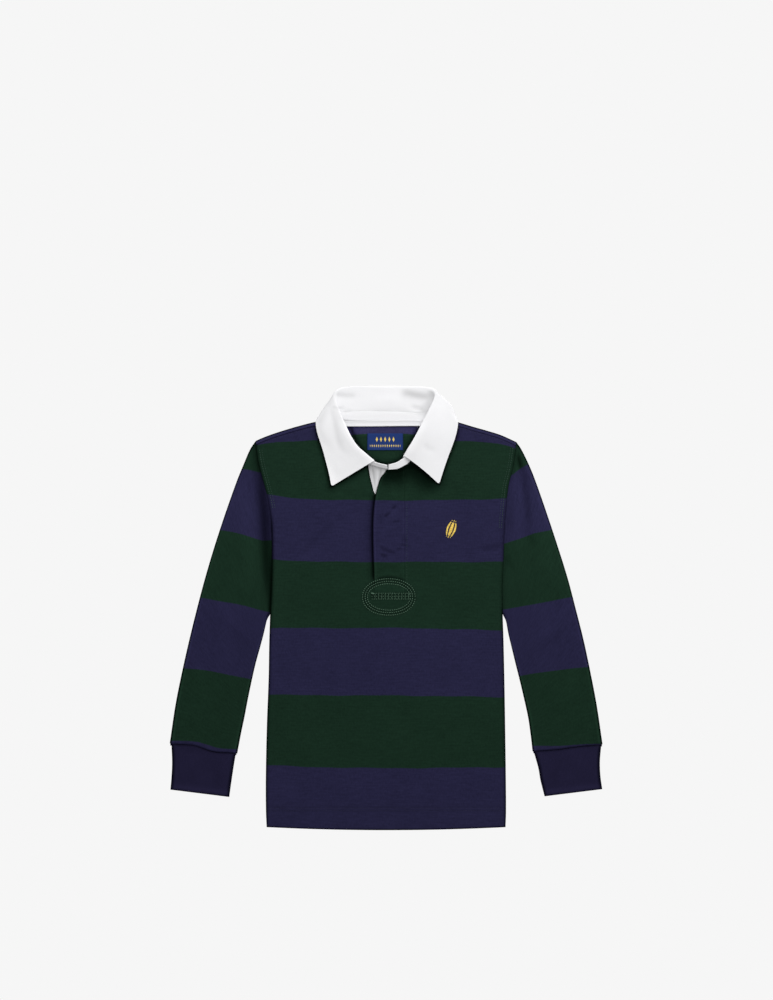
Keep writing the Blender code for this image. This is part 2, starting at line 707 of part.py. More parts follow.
def build_sleeve(name, rows, folds, wave, side):
    """A sleeve: a flattened tube from the armhole to the cuff seam."""
    grid = []
    for index, (outer, inner, shares, line) in enumerate(sleeve_lines(rows, side)):
        if index == len(rows) - 1:
            down = down_sleeve(outer, inner, side)
            line = [p + down * cuff_wave(wave, share) for share, p in zip(shares, line)]
        grid.append(
            flat_ring(outer, inner, line, line, JERSEY, sleeve_height(folds, outer, inner))
        )
    add_wall(name, grid, (NAVY, GREEN), closed=True, stripe_of=sleeve_stripe)


def build_cuff(name, rows, wave, side):
    """A cuff of doubled rib, with its ribs raised on the upper face and a plain underside."""
    grid = []
    for index, row in enumerate(rows):
        outer = Vector((row.outer_x, row.outer_y, 0.0))
        inner = Vector((row.inner_x, row.inner_y, 0.0))
        along = (outer - inner).normalized()
        down = down_sleeve(outer, inner, side)
        start, end = outer - along * EDGE_RADIUS, inner + along * EDGE_RADIUS
        at_seam = 1.0 if index == 0 else 0.0
        steps = 2 * RIBS
        shares = [step / steps for step in range(steps + 1)]
        upper = [start.lerp(end, s) + down * at_seam * cuff_wave(wave, s) for s in shares]
        lower = upper[::4]
        ring = flat_ring(outer, inner, upper, lower, RIB, lambda x, y: EDGE_HEIGHT - RIB_RELIEF)
        for step in range(1, steps, 2):
            ring[step][0].z += RIB_RELIEF
        grid.append(ring)
    add_wall(name, grid, (RIB_NAVY,), closed=True)


CollarSection = namedtuple("CollarSection", "neck seam gap turn leaf")


def collar_row(place):
    """The collar's section at a place in its table, between rows too."""
    names = CollarRow._fields
    numbered = [dict(zip(names, row), place=index) for index, row in enumerate(COLLAR)]
    keyed = [namedtuple("Keyed", row)(**row) for row in numbered]
    return CollarRow(*(column_at(keyed, "place", name, place) for name in names))


def collar_section(row):
    """The middle line of a section: its foot at the neck, the roll, and the fall's edge."""
    neck = Vector((row.neck_x, row.neck_y, row.neck_z))
    roll = Vector((row.roll_x, row.roll_y, row.roll_z))
    edge = Vector((row.edge_x, row.edge_y, row.edge_z))
    to_neck, to_edge = (neck - roll).normalized(), (edge - roll).normalized()
    crest = -(to_neck + to_edge).normalized()
    across = (to_edge - to_neck).normalized()
    half = to_neck.angle(to_edge) / 2
    centre = roll - crest * ROLL_RADIUS
    turn = []
    for step in range(ROLL_STEPS + 1):
        angle = half + (math.pi - 2 * half) * step / ROLL_STEPS
        turn.append(centre + ROLL_RADIUS * (crest * math.sin(angle) - across * math.cos(angle)))
    flare_way = Vector((-to_edge.y, to_edge.x, 0.0)).normalized()
    if flare_way.dot(across) < 0:
        flare_way.negate()
    swell = across * 0.5 + flare_way
    leaf = []
    for step in range(1, LEAF_STEPS + 1):
        share = step / LEAF_STEPS
        bow = swell * row.flare * math.sin(math.pi * share)
        leaf.append(turn[-1].lerp(edge, share) + bow)
    return neck, turn, leaf


def wall_over(middle, wall):
    """A grid of (outer, inner) points half a wall to each side of a grid of middle points."""
    rows, columns = len(middle), len(middle[0])
    grid = []
    for r in range(rows):
        row = []
        for c in range(columns):
            along = middle[r][min(c + 1, columns - 1)] - middle[r][max(c - 1, 0)]
            around = middle[min(r + 1, rows - 1)][c] - middle[max(r - 1, 0)][c]
            out = along.cross(around).normalized() * (wall / 2)
            row.append((middle[r][c] + out, middle[r][c] - out))
        grid.append(row)
    return grid


def collar_sections():
    """Every section's neck point, seam point, seam gap, roll and leaf, between the table's rows too."""
    last = (len(COLLAR) - 1) * COLLAR_STEPS
    drawn = []
    for index in range(last + 1):
        row = collar_row(index / COLLAR_STEPS)
        neck, turn, leaf = collar_section(row)
        drawn.append((neck, neck.lerp(turn[0], row.seam_share), turn, leaf))
    sections = []
    for index, (neck, seam, turn, leaf) in enumerate(drawn):
        rise = (turn[0] - neck).normalized()
        beside = [drawn[i][1] - seam for i in (index - 1, index + 1) if 0 <= i <= last]
        gap = rise * COLLAR_SEAM_GAP / min(math.sin(run.angle(rise)) for run in beside)
        sections.append(CollarSection(neck, seam, gap, turn, leaf))
    return sections


def build_collar_fall():
    """The fall: from the stand's seam over the roll to the outer edge."""
    middle = []
    for section in collar_sections():
        start = section.seam + section.gap
        middle.append([start, start.lerp(section.turn[0], 0.5)] + section.turn + section.leaf)
    add_wall("collar_fall", wall_over(middle, TWILL), (WHITE,))


def stand_end(rows):
    """The bare stand's sections in front of a leaf."""
    feet_and_tops = [(Vector(row[:3]), Vector(row[3:])) for row in rows]
    return [[foot, foot.lerp(top, 0.5), top] for foot, top in feet_and_tops]


def build_collar_stand():
    """The stand: a band round the neck, bare in front of the leaves."""
    under_fall = [[s.neck, s.neck.lerp(s.seam, 0.5), s.seam] for s in collar_sections()]
    middle = stand_end(RIGHT_STAND_END) + under_fall + stand_end(LEFT_STAND_END)
    add_wall("collar_stand", wall_over(middle, TWILL), (WHITE,))


def main():
    """Builds every piece."""
    for leftover in list(bpy.data.objects):
        bpy.data.objects.remove(leftover, do_unlink=True)
    build_back()
    build_front()
    build_placket_flap()
    build_under_placket()
    build_neck_tape()
    build_neck_label()
    build_sleeve("sleeve_right", RIGHT_SLEEVE, RIGHT_SLEEVE_FOLDS, RIGHT_CUFF_WAVE, -1)
    build_sleeve("sleeve_left", LEFT_SLEEVE, LEFT_SLEEVE_FOLDS, LEFT_CUFF_WAVE, 1)
    build_cuff("cuff_right", RIGHT_CUFF, RIGHT_CUFF_WAVE, -1)
    build_cuff("cuff_left", LEFT_CUFF, LEFT_CUFF_WAVE, 1)
    build_collar_stand()
    build_collar_fall()


main()
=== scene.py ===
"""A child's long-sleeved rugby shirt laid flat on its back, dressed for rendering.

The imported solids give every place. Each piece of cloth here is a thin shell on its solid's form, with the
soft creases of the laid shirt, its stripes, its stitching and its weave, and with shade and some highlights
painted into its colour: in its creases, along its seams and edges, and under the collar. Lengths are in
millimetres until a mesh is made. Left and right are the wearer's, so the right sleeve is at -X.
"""

import logging
import math
from collections.abc import Callable, Sequence
from dataclasses import dataclass
from enum import Enum
from typing import Any, NamedTuple

import bpy
import numpy as np
from mathutils import Matrix, Vector


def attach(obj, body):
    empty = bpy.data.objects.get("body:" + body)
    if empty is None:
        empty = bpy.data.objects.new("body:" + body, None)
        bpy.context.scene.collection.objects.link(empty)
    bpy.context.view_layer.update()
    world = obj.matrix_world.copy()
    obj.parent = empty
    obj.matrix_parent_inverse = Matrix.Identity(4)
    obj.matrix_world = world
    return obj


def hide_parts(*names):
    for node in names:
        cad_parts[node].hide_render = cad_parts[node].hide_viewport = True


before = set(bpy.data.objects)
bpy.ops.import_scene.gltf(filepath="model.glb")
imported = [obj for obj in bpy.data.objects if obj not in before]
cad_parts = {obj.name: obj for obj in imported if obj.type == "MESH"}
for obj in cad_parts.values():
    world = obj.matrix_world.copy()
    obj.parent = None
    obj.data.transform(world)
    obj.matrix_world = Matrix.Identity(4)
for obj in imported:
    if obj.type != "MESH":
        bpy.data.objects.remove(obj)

Array = np.ndarray
Line = Callable[[Array], Array]
Height = Callable[[Array, Array], Array]
Path = tuple[tuple[float, float], ...]
Piece = bpy.types.Object
Finish = bpy.types.Material
Socket = bpy.types.NodeSocket

LOG = logging.getLogger("rugby_shirt")
MM = 0.001
STRIPE_HEIGHT = 80.0
SOLVING_ROUNDS = 10


class Slot(Enum):
    """The record's finishes."""

    JERSEY = "jersey"
    RIB = "rib"
    TWILL = "twill"
    LABEL = "label"


class Facing(Enum):
    """Which way a laid panel's good side faces."""

    UP = 1
    DOWN = -1


# ---- shape functions


def ease(low: float, high: float, value: Array) -> Array:
    """A smooth step: 0 below low, 1 above high."""
    share = np.clip((np.asarray(value, float) - low) / (high - low), 0.0, 1.0)
    return share * share * (3 - 2 * share)


def bell(distance: Array, reach: float) -> Array:
    """1 at no distance, falling to nothing over the reach."""
    return np.exp(-((distance / reach) ** 2))


def unit(vectors: Array) -> Array:
    """Vectors of length one."""
    return vectors / np.linalg.norm(vectors, axis=-1, keepdims=True)


class SmoothLine:
    """A smooth line through knots, level beyond its ends. Its values are numbers, or rows of a table."""

    def __init__(self, knots: Sequence[float], values: Sequence) -> None:
        """Keeps the knots and works out the slopes.

        Args:
            knots: rising places.
            values: the line's value at each knot, or its row of values.
        """
        self.knots = np.asarray(knots, float)
        self.values = np.asarray(values, float)
        self.widened = (..., *[None] * (self.values.ndim - 1))
        last = len(self.knots) - 1
        low = np.maximum(np.arange(last + 1) - 1, 0)
        high = np.minimum(np.arange(last + 1) + 1, last)
        self.slopes = (self.values[high] - self.values[low]) / (self.knots[high] - self.knots[low])[self.widened]

    def __call__(self, place: Array) -> Array:
        """The line's value at each place.

        Args:
            place: where on the line.

        Returns:
            A number or a row for each place.
        """
        place = np.clip(np.asarray(place, float), self.knots[0], self.knots[-1])
        first = np.clip(np.searchsorted(self.knots, place) - 1, 0, len(self.knots) - 2)
        span = (self.knots[first + 1] - self.knots[first])[self.widened]
        t = (place - self.knots[first])[self.widened] / span
        rise = self.values[first + 1] - self.values[first]
        start, end = self.slopes[first] * span, self.slopes[first + 1] * span
        bent = (3 * rise - 2 * start - end) * t**2 + (start + end - 2 * rise) * t**3
        return self.values[first] + start * t + bent


class Crease(NamedTuple):
    """A soft ridge or trough along a path: its points, how high it stands and how wide it reaches."""

    path: Path
    rise: float
    reach: float


def nearness(path: Path, x: Array, y: Array) -> tuple[Array, Array]:
    """How far places are from a path.

    Args:
        path: the path's points.
        x: places across.
        y: places along.

    Returns:
        Each place's distance, and how far along the path it is nearest, as a share.
    """
    points = np.array(path, float)
    runs = np.linalg.norm(np.diff(points, axis=0), axis=1)
    nearest = np.full(np.broadcast(x, y).shape, 1e9)
    along = np.zeros(nearest.shape)
    done = 0.0
    for start, end, run in zip(points[:-1], points[1:], runs):
        way = (end - start) / run
        held = np.clip((x - start[0]) * way[0] + (y - start[1]) * way[1], 0.0, run)
        away = np.hypot(x - start[0] - way[0] * held, y - start[1] - way[1] * held)
        closer = away < nearest
        nearest = np.where(closer, away, nearest)
        along = np.where(closer, done + held, along)
        done += run
    return nearest, along / runs.sum()


def relief(creases: Sequence[Crease], x: Array, y: Array) -> Array:
    """How far creases raise or sink the cloth, in millimetres, at each place.

    Args:
        creases: the creases, which add up.
        x: places across.
        y: places along.

    Returns:
        The rise at each place.
    """
    total = np.zeros(np.broadcast(x, y).shape)
    for crease in creases:
        away, share = nearness(crease.path, x, y)
        fade = 0.15 + 0.85 * ease(0.0, 0.3, share) * ease(0.0, 0.3, 1 - share)
        total = total + crease.rise * fade * bell(away, crease.reach)
    return total


def darker(rise: Array, each_mm: float) -> Array:
    """How much painted shade a trough gets, or painted highlight a ridge, for each millimetre it sinks or rises."""
    return -rise * np.where(rise < 0, each_mm, each_mm * 0.45)


@dataclass(frozen=True)
class Undulation:
    """The slight unevenness of cloth that was smoothed by hand: a sum of slow waves."""

    seed: int
    height: float = 0.10
    shortest: float = 22.0
    longest: float = 90.0
    waves: int = 26

    def __call__(self, x: Array, y: Array) -> Array:
        """The rise at each place, in millimetres.

        Args:
            x: places across.
            y: places along.

        Returns:
            The rise at each place.
        """
        chance = np.random.default_rng(self.seed)
        total = np.zeros(np.broadcast(x, y).shape)
        for _ in range(self.waves):
            wave = chance.uniform(self.shortest, self.longest)
            way = chance.uniform(0, math.pi)
            start = chance.uniform(0, 2 * math.pi)
            turn = 2 * math.pi / wave
            total += np.sin(turn * (x * math.cos(way) + y * math.sin(way)) + start) * wave / self.longest
        return total * self.height


def column(rows: Sequence[tuple], name: str) -> list[float]:
    """One named column of a table."""
    return [getattr(row, name) for row in rows]


def table(kind: type, *rows: tuple) -> tuple:
    """A table's rows, each with its named columns."""
    return tuple(kind(*row) for row in rows)


def run_along(points: Array) -> Array:
    """How far along a path each of its points lies."""
    return np.concatenate([[0.0], np.cumsum(np.linalg.norm(np.diff(points, axis=0), axis=-1))])


# ---- the body's form


class BodyRow(NamedTuple):
    """The body's two silhouettes at a height."""

    y: float
    right: float
    left: float


class ShoulderRow(NamedTuple):
    """The shoulders' silhouettes at a reach from the middle."""

    reach: float
    right_y: float
    left_y: float


class SlitRow(NamedTuple):
    """The front's edge and the flap's edge at a height of the placket."""

    y: float
    front: float
    flap: float


class StripeRow(NamedTuple):
    """A line where one stripe ends: its height in the middle and at each side, and how late it bends."""

    y: float
    right_y: float
    left_y: float
    bend: float


@dataclass(frozen=True)
class BodyForm:
    """The lines and heights that the body's pieces share."""

    edge_radius: float = 2.3
    edge_height: float = 4.6
    front_height: float = 4.0
    placket_rise: float = 0.6
    neck_rise: float = 1.2
    flap_rise: float = 0.8
    fall_lift: float = 1.9
    jersey: float = 1.1
    hem_edge_y: float = -262.8
    hem_sag: float = 3.6
    hem_half_width: float = 142.0
    hem_seam_y: float = -241.4
    needle_gap: float = 1.6
    underarm_y: float = -8.0
    fan_y: float = 150.0
    neck_half_width: float = 62.0
    back_neck_y: float = 223.8
    seam_forward: float = 4.8
    seam_gap: float = 0.12
    notch_y: float = 13.8
    stitch_x: float = 21.6
    oval_centre: tuple[float, float] = (3.4, 13.3)
    oval_half: tuple[float, float] = (31.6, 21.8)
    edges: tuple[BodyRow, ...] = table(
        BodyRow,
        (-262.8, -143.2, 143.4), (-244, -144, 144), (-206, -144.2, 143.8), (-144, -143, 143),
        (-84, -140.8, 142), (-40, -140, 141), (-8, -139, 140), (22, -137.6, 139.2),
        (58, -136.8, 140.6), (94, -137.2, 141.8), (118, -139, 143.6), (133, -141.8, 145),
        (149, -146, 147.2), (163, -149.8, 150.8), (180, -153.6, 154), (200, -156, 156.2),
    )
    shoulders: tuple[ShoulderRow, ...] = table(
        ShoulderRow,
        (62, 227.4, 227.2), (85, 223.3, 223.2), (103, 218.8, 217.9), (121, 213.6, 212.8),
        (137, 208.4, 207.8), (149, 203.8, 202.6), (157, 200.2, 198.8),
    )
    neck: Path = (
        (-62, 221.5), (-54, 210.5), (-45, 196), (-36, 184.5), (-26, 176), (-17, 171.3), (-8, 168.5),
        (3, 166.2), (14.4, 167.6), (24, 171.8), (32, 178.8), (40, 193), (51, 208), (62, 220.5),
    )
    slit: tuple[SlitRow, ...] = table(
        SlitRow,
        (-270, -15.4, -14.6), (36, -15.4, -14.6), (60, -16, -15.2), (84, -16.6, -15.8),
        (102, -16.5, -15.7), (118, -15.7, -14.8), (136, -14.6, -12.6), (146.4, -16.3, -10),
        (156, -18.8, -6.7), (162, -19.9, -2.2), (171, -21.4, 4),
    )
    stripes: tuple[StripeRow, ...] = table(
        StripeRow,
        (-191.9, -188.4, -190.7, 2.0), (-104.8, -103.9, -107.2, 1.6), (-23.8, -24.1, -27.3, 1.6),
        (55.3, 60.0, 55.8, 4.0), (129.3, 136.5, 131.8, 3.4), (200.8, 197.0, 193.5, 6.0),
    )
    creases: tuple[Crease, ...] = table(
        Crease,
        (((-124, 70), (-96, 92), (-60, 126)), 0.7, 5), (((-112, 58), (-84, 82), (-46, 116)), -0.6, 4.5),
        (((-102, 130), (-76, 110), (-50, 96)), 0.5, 5), (((-128, 46), (-104, 50), (-70, 70)), 0.4, 6),
        (((112, 70), (126, 71), (143, 78)), -1, 4), (((108, 60), (128, 60), (144, 64)), 0.7, 5),
        (((-56, 152), (-34, 136), (-14, 116)), 0.5, 6), (((-59, 141.5), (-40, 136.5), (-17, 131.5)), -0.6, 3.6),
        (((-54, 131), (-38, 127), (-22, 120)), 0.35, 5), (((30, 162), (48, 140), (74, 112)), 0.5, 7),
        (((44, 170), (66, 150), (96, 138)), -0.4, 7), (((-128, -56), (-84, -64), (-40, -88)), 0.35, 13),
        (((-120, -128), (-66, -118), (-20, -136)), -0.3, 12), (((30, -152), (80, -134), (128, -126)), 0.35, 13),
        (((-96, -228), (-40, -216), (10, -214)), 0.3, 11), (((60, 12), (92, 22), (130, 18)), 0.3, 12),
        (((-126, 6), (-90, -4), (-52, 8)), -0.3, 11),
    )
    placket_creases: tuple[Crease, ...] = table(
        Crease,
        (((12.4, 123.6), (7.2, 118.2)), -0.75, 1.8), (((6.6, 114.8), (-2.8, 108.8)), -0.75, 2),
        (((14, 119), (8, 114.4), (1, 107.4)), 0.4, 2.2), (((6.6, 102.4), (18.4, 104.9)), -0.5, 1.7),
        (((-6.4, 114), (-6, 98)), -0.28, 2.8), (((-8.2, 75.2), (-4, 71.6), (2, 68.6), (7, 67.2), (13.4, 65)), -0.6, 2),
        (((11.8, 69.4), (18.6, 72)), -0.5, 1.5), (((16.8, 77.2), (27.6, 73.2)), -0.55, 1.6),
        (((19, 85.4), (26.4, 79.4)), -0.4, 2.6), (((-7.6, 64.2), (2, 61.2)), -0.65, 2.2),
        (((10.4, 85.2), (17.2, 79.8)), 0.35, 2.2), (((13, 75.2), (20.8, 72.2)), 0.3, 1.5),
        (((-3, 75.8), (7, 73.2)), 0.3, 2.2), (((-12, 46), (0, 49), (16, 45)), -0.25, 4.5),
        (((6, 150), (10, 140), (12, 128)), 0.35, 4),
    )
    # painted shadow under the collar's edges: each path, how dark it is there and how far it reaches
    collar_shadow_paths: tuple[Crease, ...] = table(
        Crease,
        (((-84.6, 224.8), (-82.6, 207.2), (-77.6, 192.2), (-73.4, 177.2), (-66.6, 146)), 0.14, 6),
        (((-64.6, 146.2), (-40, 160.8), (-19, 173.4)), 0.34, 8), (((-19, 170), (-10, 167), (3, 164.8)), 0.22, 6),
        (((2, 164.8), (14, 165), (25, 169.6), (33, 170.4), (43, 164.4), (51, 158)), 0.76, 21),
        (((22, 181), (40, 167.6), (62.4, 149.2)), 0.20, 6),
        (((86.8, 223.2), (84.4, 206), (80.6, 194.6), (75.4, 181), (70, 165.2), (64.2, 148.4)), 0.12, 6),
    )
    ripple: Undulation = Undulation(seed=11)

    def edge(self, side: int) -> SmoothLine:
        """The silhouette of one side, as a line of y: side -1 is the wearer's right."""
        return SmoothLine(column(self.edges, "y"), column(self.edges, "right" if side < 0 else "left"))

    def inner_edge(self, side: int) -> Line:
        """Where a side's turned edge meets the flat, as a line of y."""
        silhouette = self.edge(side)
        return lambda y: silhouette(y) - side * self.edge_radius

    def shoulder(self, x: Array) -> Array:
        """The shoulder's silhouette."""
        reach = column(self.shoulders, "reach")
        right = SmoothLine(reach, column(self.shoulders, "right_y"))
        left = SmoothLine(reach, column(self.shoulders, "left_y"))
        return np.where(x < 0, right(np.abs(x)), left(np.abs(x)))

    def hem(self, x: Array) -> Array:
        """The hem, which sags a little between its corners."""
        return self.hem_edge_y - self.hem_sag * (1 - np.minimum(np.abs(x) / self.hem_half_width, 1.0) ** 2)

    def lift(self, x: Array, y: Array) -> Array:
        """How far the fall under the back neck raises what lies on it."""
        return self.fall_lift * (1 - ease(74.0, 92.0, np.abs(x))) * ease(190.0, 216.0, y)

    def front_top(self, x: Array) -> Array:
        """Where the front ends: its neck seam, or its forward shoulder seam."""
        neck = SmoothLine(*zip(*self.neck))
        seam = self.shoulder(x) - self.seam_forward - self.seam_gap
        return np.where(np.abs(x) < self.neck_half_width, neck(x), seam)

    def back_top(self, x: Array) -> Array:
        """Where the back's flat part ends: its neck seam, or the foot of its shoulder turn."""
        foot = self.shoulder(x) - self.edge_radius
        return np.where(np.abs(x) < self.neck_half_width, self.back_neck_y, foot)

    def slit_line(self, name: str) -> SmoothLine:
        """One edge of the placket's opening, as a line of y: front or flap."""
        return SmoothLine(column(self.slit, "y"), column(self.slit, name))

    def at_needles(self, y: Array) -> Array:
        """1 on the hem's two rows of stitches, nothing away from them."""
        return bell(y - self.hem_seam_y - self.needle_gap, 0.9) + bell(y - self.hem_seam_y + self.needle_gap, 0.9)

    def to_edges(self, x: Array, y: Array) -> tuple[Array, Array, Array]:
        """How far places are from the nearer side and from the front's top line, and if that is the shoulder's."""
        to_side = np.minimum(x - self.edge(-1)(y), self.edge(1)(y) - x)
        return to_side, self.front_top(x) - y, ease(54.0, self.neck_half_width, np.abs(x))

    def front_face(self, x: Array, y: Array) -> Array:
        """The height of the front's upper face, without its edges' turn.

        Args:
            x: places across.
            y: places along.

        Returns:
            The heights.
        """
        to_side, to_top, at_shoulder = self.to_edges(x, y)
        neck_share = 1 - ease(40.0, self.neck_half_width, np.abs(x))
        raised = self.edge_height - self.front_height
        side = raised * (1 - ease(0.0, 18.0, to_side))
        top = raised + (self.neck_rise - raised) * neck_share
        placket = self.placket_rise * ease(8.0, 24.0, y) * ease(-44.0, -26.0, x)
        placket = placket * (1 - ease(self.stitch_x + 4.0, self.stitch_x + 22.0, x))
        rise = np.maximum(side, top * (1 - ease(0.0, 20.0, to_top)))
        inside = ease(1.0, 12.0, to_side) * ease(0.0, 10.0, to_top)
        folds = relief(self.creases, x, y) + self.ripple(x, y)
        crisp = relief(self.placket_creases, x, y) * ease(-16.0, -12.0, x) * ease(0.0, 6.0, to_top)
        hem_ply = 0.35 * (1 - ease(self.hem_seam_y - 1.0, self.hem_seam_y + 3.5, y))
        hem_end = -0.8 * (1 - ease(0.0, 1.6, y - self.hem(x)))
        ditch = -0.55 * bell(to_side, 1.3) * ease(self.underarm_y, 6.0, y)
        seam = -0.45 * bell(to_top, 1.2) * at_shoulder
        base = self.front_height + self.lift(x, y) + np.maximum(rise, placket)
        return base + folds * inside + crisp - 0.30 * self.at_needles(y) + hem_ply + hem_end + ditch + seam

    def front_shade(self, x: Array, y: Array) -> Array:
        """How much painted shade the front has: in its troughs, at its edges and seams, and as painted shadow close
        under the collar.

        Args:
            x: places across.
            y: places along.

        Returns:
            The painted shade, as a share of the colour that is taken away; where it is below 0 it is a painted
            highlight.
        """
        to_side, to_top, at_shoulder = self.to_edges(x, y)
        sewn = ease(self.underarm_y, 6.0, y)
        # painted dark outlines at the sides and the hem, with painted highlights just inside them and on the seam
        # allowances' band
        side = (0.86 - sewn * np.where(x < 0, 0.4 * ease(95.0, 120.0, y), 0.50)) * bell(to_side, 2.2)
        side = side - 0.22 * bell(to_side - 3.4, 1.0) * (1 - sewn)
        allowance = 0.15 * bell(to_side - 5.6, 0.8) - 0.16 * bell(to_side - 2.9, 1.7)
        side = side + allowance * np.where(x < 0, ease(96.0, 124.0, y), 0.6 * ease(110.0, 130.0, y))
        side = side + 0.86 * bell(y - self.hem(x), 1.5) - 0.26 * bell(y - self.hem(x) - 3.0, 1.0)
        shoulder = np.where(x < 0, 0.30, 0.10) * bell(to_top, 1.1) * at_shoulder
        folds = darker(relief(self.creases, x, y), 0.16)
        crisp = darker(relief(self.placket_creases, x, y), 0.55) * ease(-16.0, -12.0, x)
        # painted shadow close under the collar's edges
        close = np.zeros(np.shape(x))
        for path, depth, reach in self.collar_shadow_paths:
            away, _ = nearness(path, x, y)
            soft = depth * (1 - ease(0.25 * reach, 1.35 * reach, away))
            close = np.maximum(close, (0.80 - 0.5 * depth) * bell(away, 2.1) + soft)
        return side + shoulder + folds + crisp + close + 0.16 * self.at_needles(y) + self.sewn_shade(x, y)

    def sewn_shade(self, x: Array, y: Array) -> Array:
        """Painted shade between the threads at the placket's foot and over their oval, a little lighter inside it, with
        a painted shadow arc above it.

        Args:
            x: places across.
            y: places along.

        Returns:
            The painted shade.
        """
        (centre_x, centre_y), (width, height) = self.oval_centre, self.oval_half
        out = np.hypot((x - centre_x) / width, (y - centre_y) / height)
        band = ease(0.75, 0.81, out) * (1 - ease(1.0, 1.05, out))
        bar = (1 - ease(3.6, 4.8, np.abs(y - 14.3))) * ease(-20.0, -17.0, x) * (1 - ease(30.0, 32.0, x))
        # over: the painted shadow arc just above the oval, where the placket ends
        over = bell(out - 1.09, 0.07) * (y > centre_y) * ease(-13.0, -7.0, x) * (1 - ease(19.0, 25.0, x))
        return 0.34 * np.maximum(band, bar) - 0.07 * (1 - np.maximum(bar, ease(0.7, 0.8, out))) + 0.55 * over

    def stripe_phase(self, x: Array, y: Array, rows: Sequence[StripeRow] | None = None) -> Array:
        """Which stripe a place is in.

        Args:
            x: places across the body.
            y: places along it.
            rows: the stripes' edges, or None for the front's.

        Returns:
            A number that passes a whole number at each stripe's edge, even in the lowest, navy stripe.
        """
        lines = []
        for row in rows or self.stripes:
            side = np.minimum(np.abs(x) / (142.0 + 0.9 * row.bend), 1.08) ** row.bend
            wave = 0.35 * np.sin(x / 17.0 + row.y) + 0.25 * np.sin(x / 7.3 + 2.1 * row.y)
            outer = np.where(x < 0, row.right_y, row.left_y)
            lines.append(row.y + (outer - row.y) * side + wave)
        return phase_between(lines, y)


def phase_between(lines: Sequence[Array], y: Array) -> Array:
    """A place's stripe, from the heights of the stripes' edges there.

    Args:
        lines: each edge's height at each place, from the lowest edge up.
        y: the places' own heights.

    Returns:
        The phase, which passes a whole number at each edge.
    """
    phase = 1.0 + np.minimum(y - lines[0], 0.0) / STRIPE_HEIGHT
    for low, high in zip(lines[:-1], lines[1:]):
        phase = phase + np.clip((y - low) / (high - low), 0.0, 1.0)
    return phase + np.maximum(y - lines[-1], 0.0) / STRIPE_HEIGHT


BODY = BodyForm()


# ---- mesh making


@dataclass
class ClothGrid:
    """A grid of points in rows, with each point's place on the cut cloth and the shade painted on it."""

    points: Array
    cut: Array
    closed: bool = False
    facing: Facing = Facing.UP
    kept: Array | None = None
    shade: Array | None = None

    def faces(self) -> Array:
        """The corner numbers of every face that is kept.

        Returns:
            Four numbers for each face.
        """
        rows, columns = self.points.shape[:2]
        number = np.arange(rows * columns).reshape(rows, columns)
        if self.closed:
            number = np.concatenate([number, number[:, :1]], axis=1)
        low, high = number[:-1], number[1:]
        made = np.stack([low[:, :-1], low[:, 1:], high[:, 1:], high[:, :-1]], axis=-1)
        if self.facing is Facing.DOWN:
            made = made[..., ::-1]
        made = made.reshape(-1, 4)
        return made if self.kept is None else made[self.kept.ravel()]

    def mesh(self, name: str) -> bpy.types.Mesh:
        """The grid as a mesh in metres.

        Args:
            name: the mesh's name.

        Returns:
            The mesh, smooth, with its places on the cut cloth in the attribute cut_place, and its painted
            shade in an attribute of its own.
        """
        faces = self.faces()
        used, renumbered = np.unique(faces, return_inverse=True)
        points = self.points.reshape(-1, 3)[used] * MM
        data = bpy.data.meshes.new(name)
        data.from_pydata(points.tolist(), [], renumbered.reshape(-1, 4).tolist())
        tell(data, "cut_place", "FLOAT_VECTOR", self.cut.reshape(-1, 3)[used])
        # the points' painted shade and painted highlights, which the finish multiplies into its colour
        shade = np.zeros(len(used)) if self.shade is None else np.clip(self.shade.ravel()[used], -0.8, 0.86)
        tell(data, "painted_shade", "FLOAT", shade)
        data.shade_smooth()
        return data


def tell(data: bpy.types.Mesh, name: str, kind: str, values: Array) -> None:
    """Gives a mesh's points an attribute for its finish: numbers, or places with three of them."""
    told = data.attributes.new(name, kind, "POINT")
    told.data.foreach_set("value" if kind == "FLOAT" else "vector", values.astype(np.float32).ravel())


def body_cut(points: Array, rows: Sequence[StripeRow] | None = None) -> Array:
    """The places on the cut cloth of the body's points: across, along, and the stripe."""
    x, y = points[..., 0], points[..., 1]
    return np.stack([x, y, BODY.stripe_phase(x, y, rows)], axis=-1)


def plain_cut(points: Array) -> Array:
    """The places on the cut cloth of a piece in one colour: across and along."""
    return np.stack([points[..., 0], points[..., 1], np.zeros(points.shape[:2])], axis=-1)


def new_object(name: str, data: bpy.types.ID) -> Piece:
    """An object of a mesh, a light or a camera, in the scene."""
    made = bpy.data.objects.new(name, data)
    bpy.context.scene.collection.objects.link(made)
    return made


class Wall(NamedTuple):
    """A cloth's wall. Its sheet is the good side where side is -1, and the middle where it is 0."""

    thickness: float
    side: float = -1.0
    soft_edge: float = 0.0


def thicken(piece: Piece, wall: Wall) -> None:
    """Gives a sheet its two faces and its edges, and rounds cut edges that are soft."""
    solid = piece.modifiers.new("cloth", "SOLIDIFY")
    solid.thickness = wall.thickness * MM
    solid.offset = wall.side
    if wall.soft_edge:
        rounding = piece.modifiers.new("soft_edge", "BEVEL")
        rounding.width = wall.soft_edge * MM
        rounding.segments = 2
        rounding.limit_method = "ANGLE"
        rounding.angle_limit = math.radians(58)


class Column(NamedTuple):
    """A line of a panel's grid: x as a function of y, and how far round the side's turn it is, in degrees."""

    line: Line
    angle: float = 90.0


def straight(x: float) -> Line:
    """A line straight up the body."""
    return lambda y: np.full(np.shape(y), x)


def between(start: Line, end: Line, steps: int, crowded: bool = False) -> list[Column]:
    """Columns from one line to the next, without the second line.

    Args:
        start: the first line.
        end: the line they reach up to.
        steps: how many.
        crowded: whether they crowd towards the first line.

    Returns:
        The columns.
    """
    shares = np.arange(steps) / steps
    if crowded:
        shares = shares**1.6
    return [Column(lambda y, s=s: start(y) + (end(y) - start(y)) * s) for s in shares]


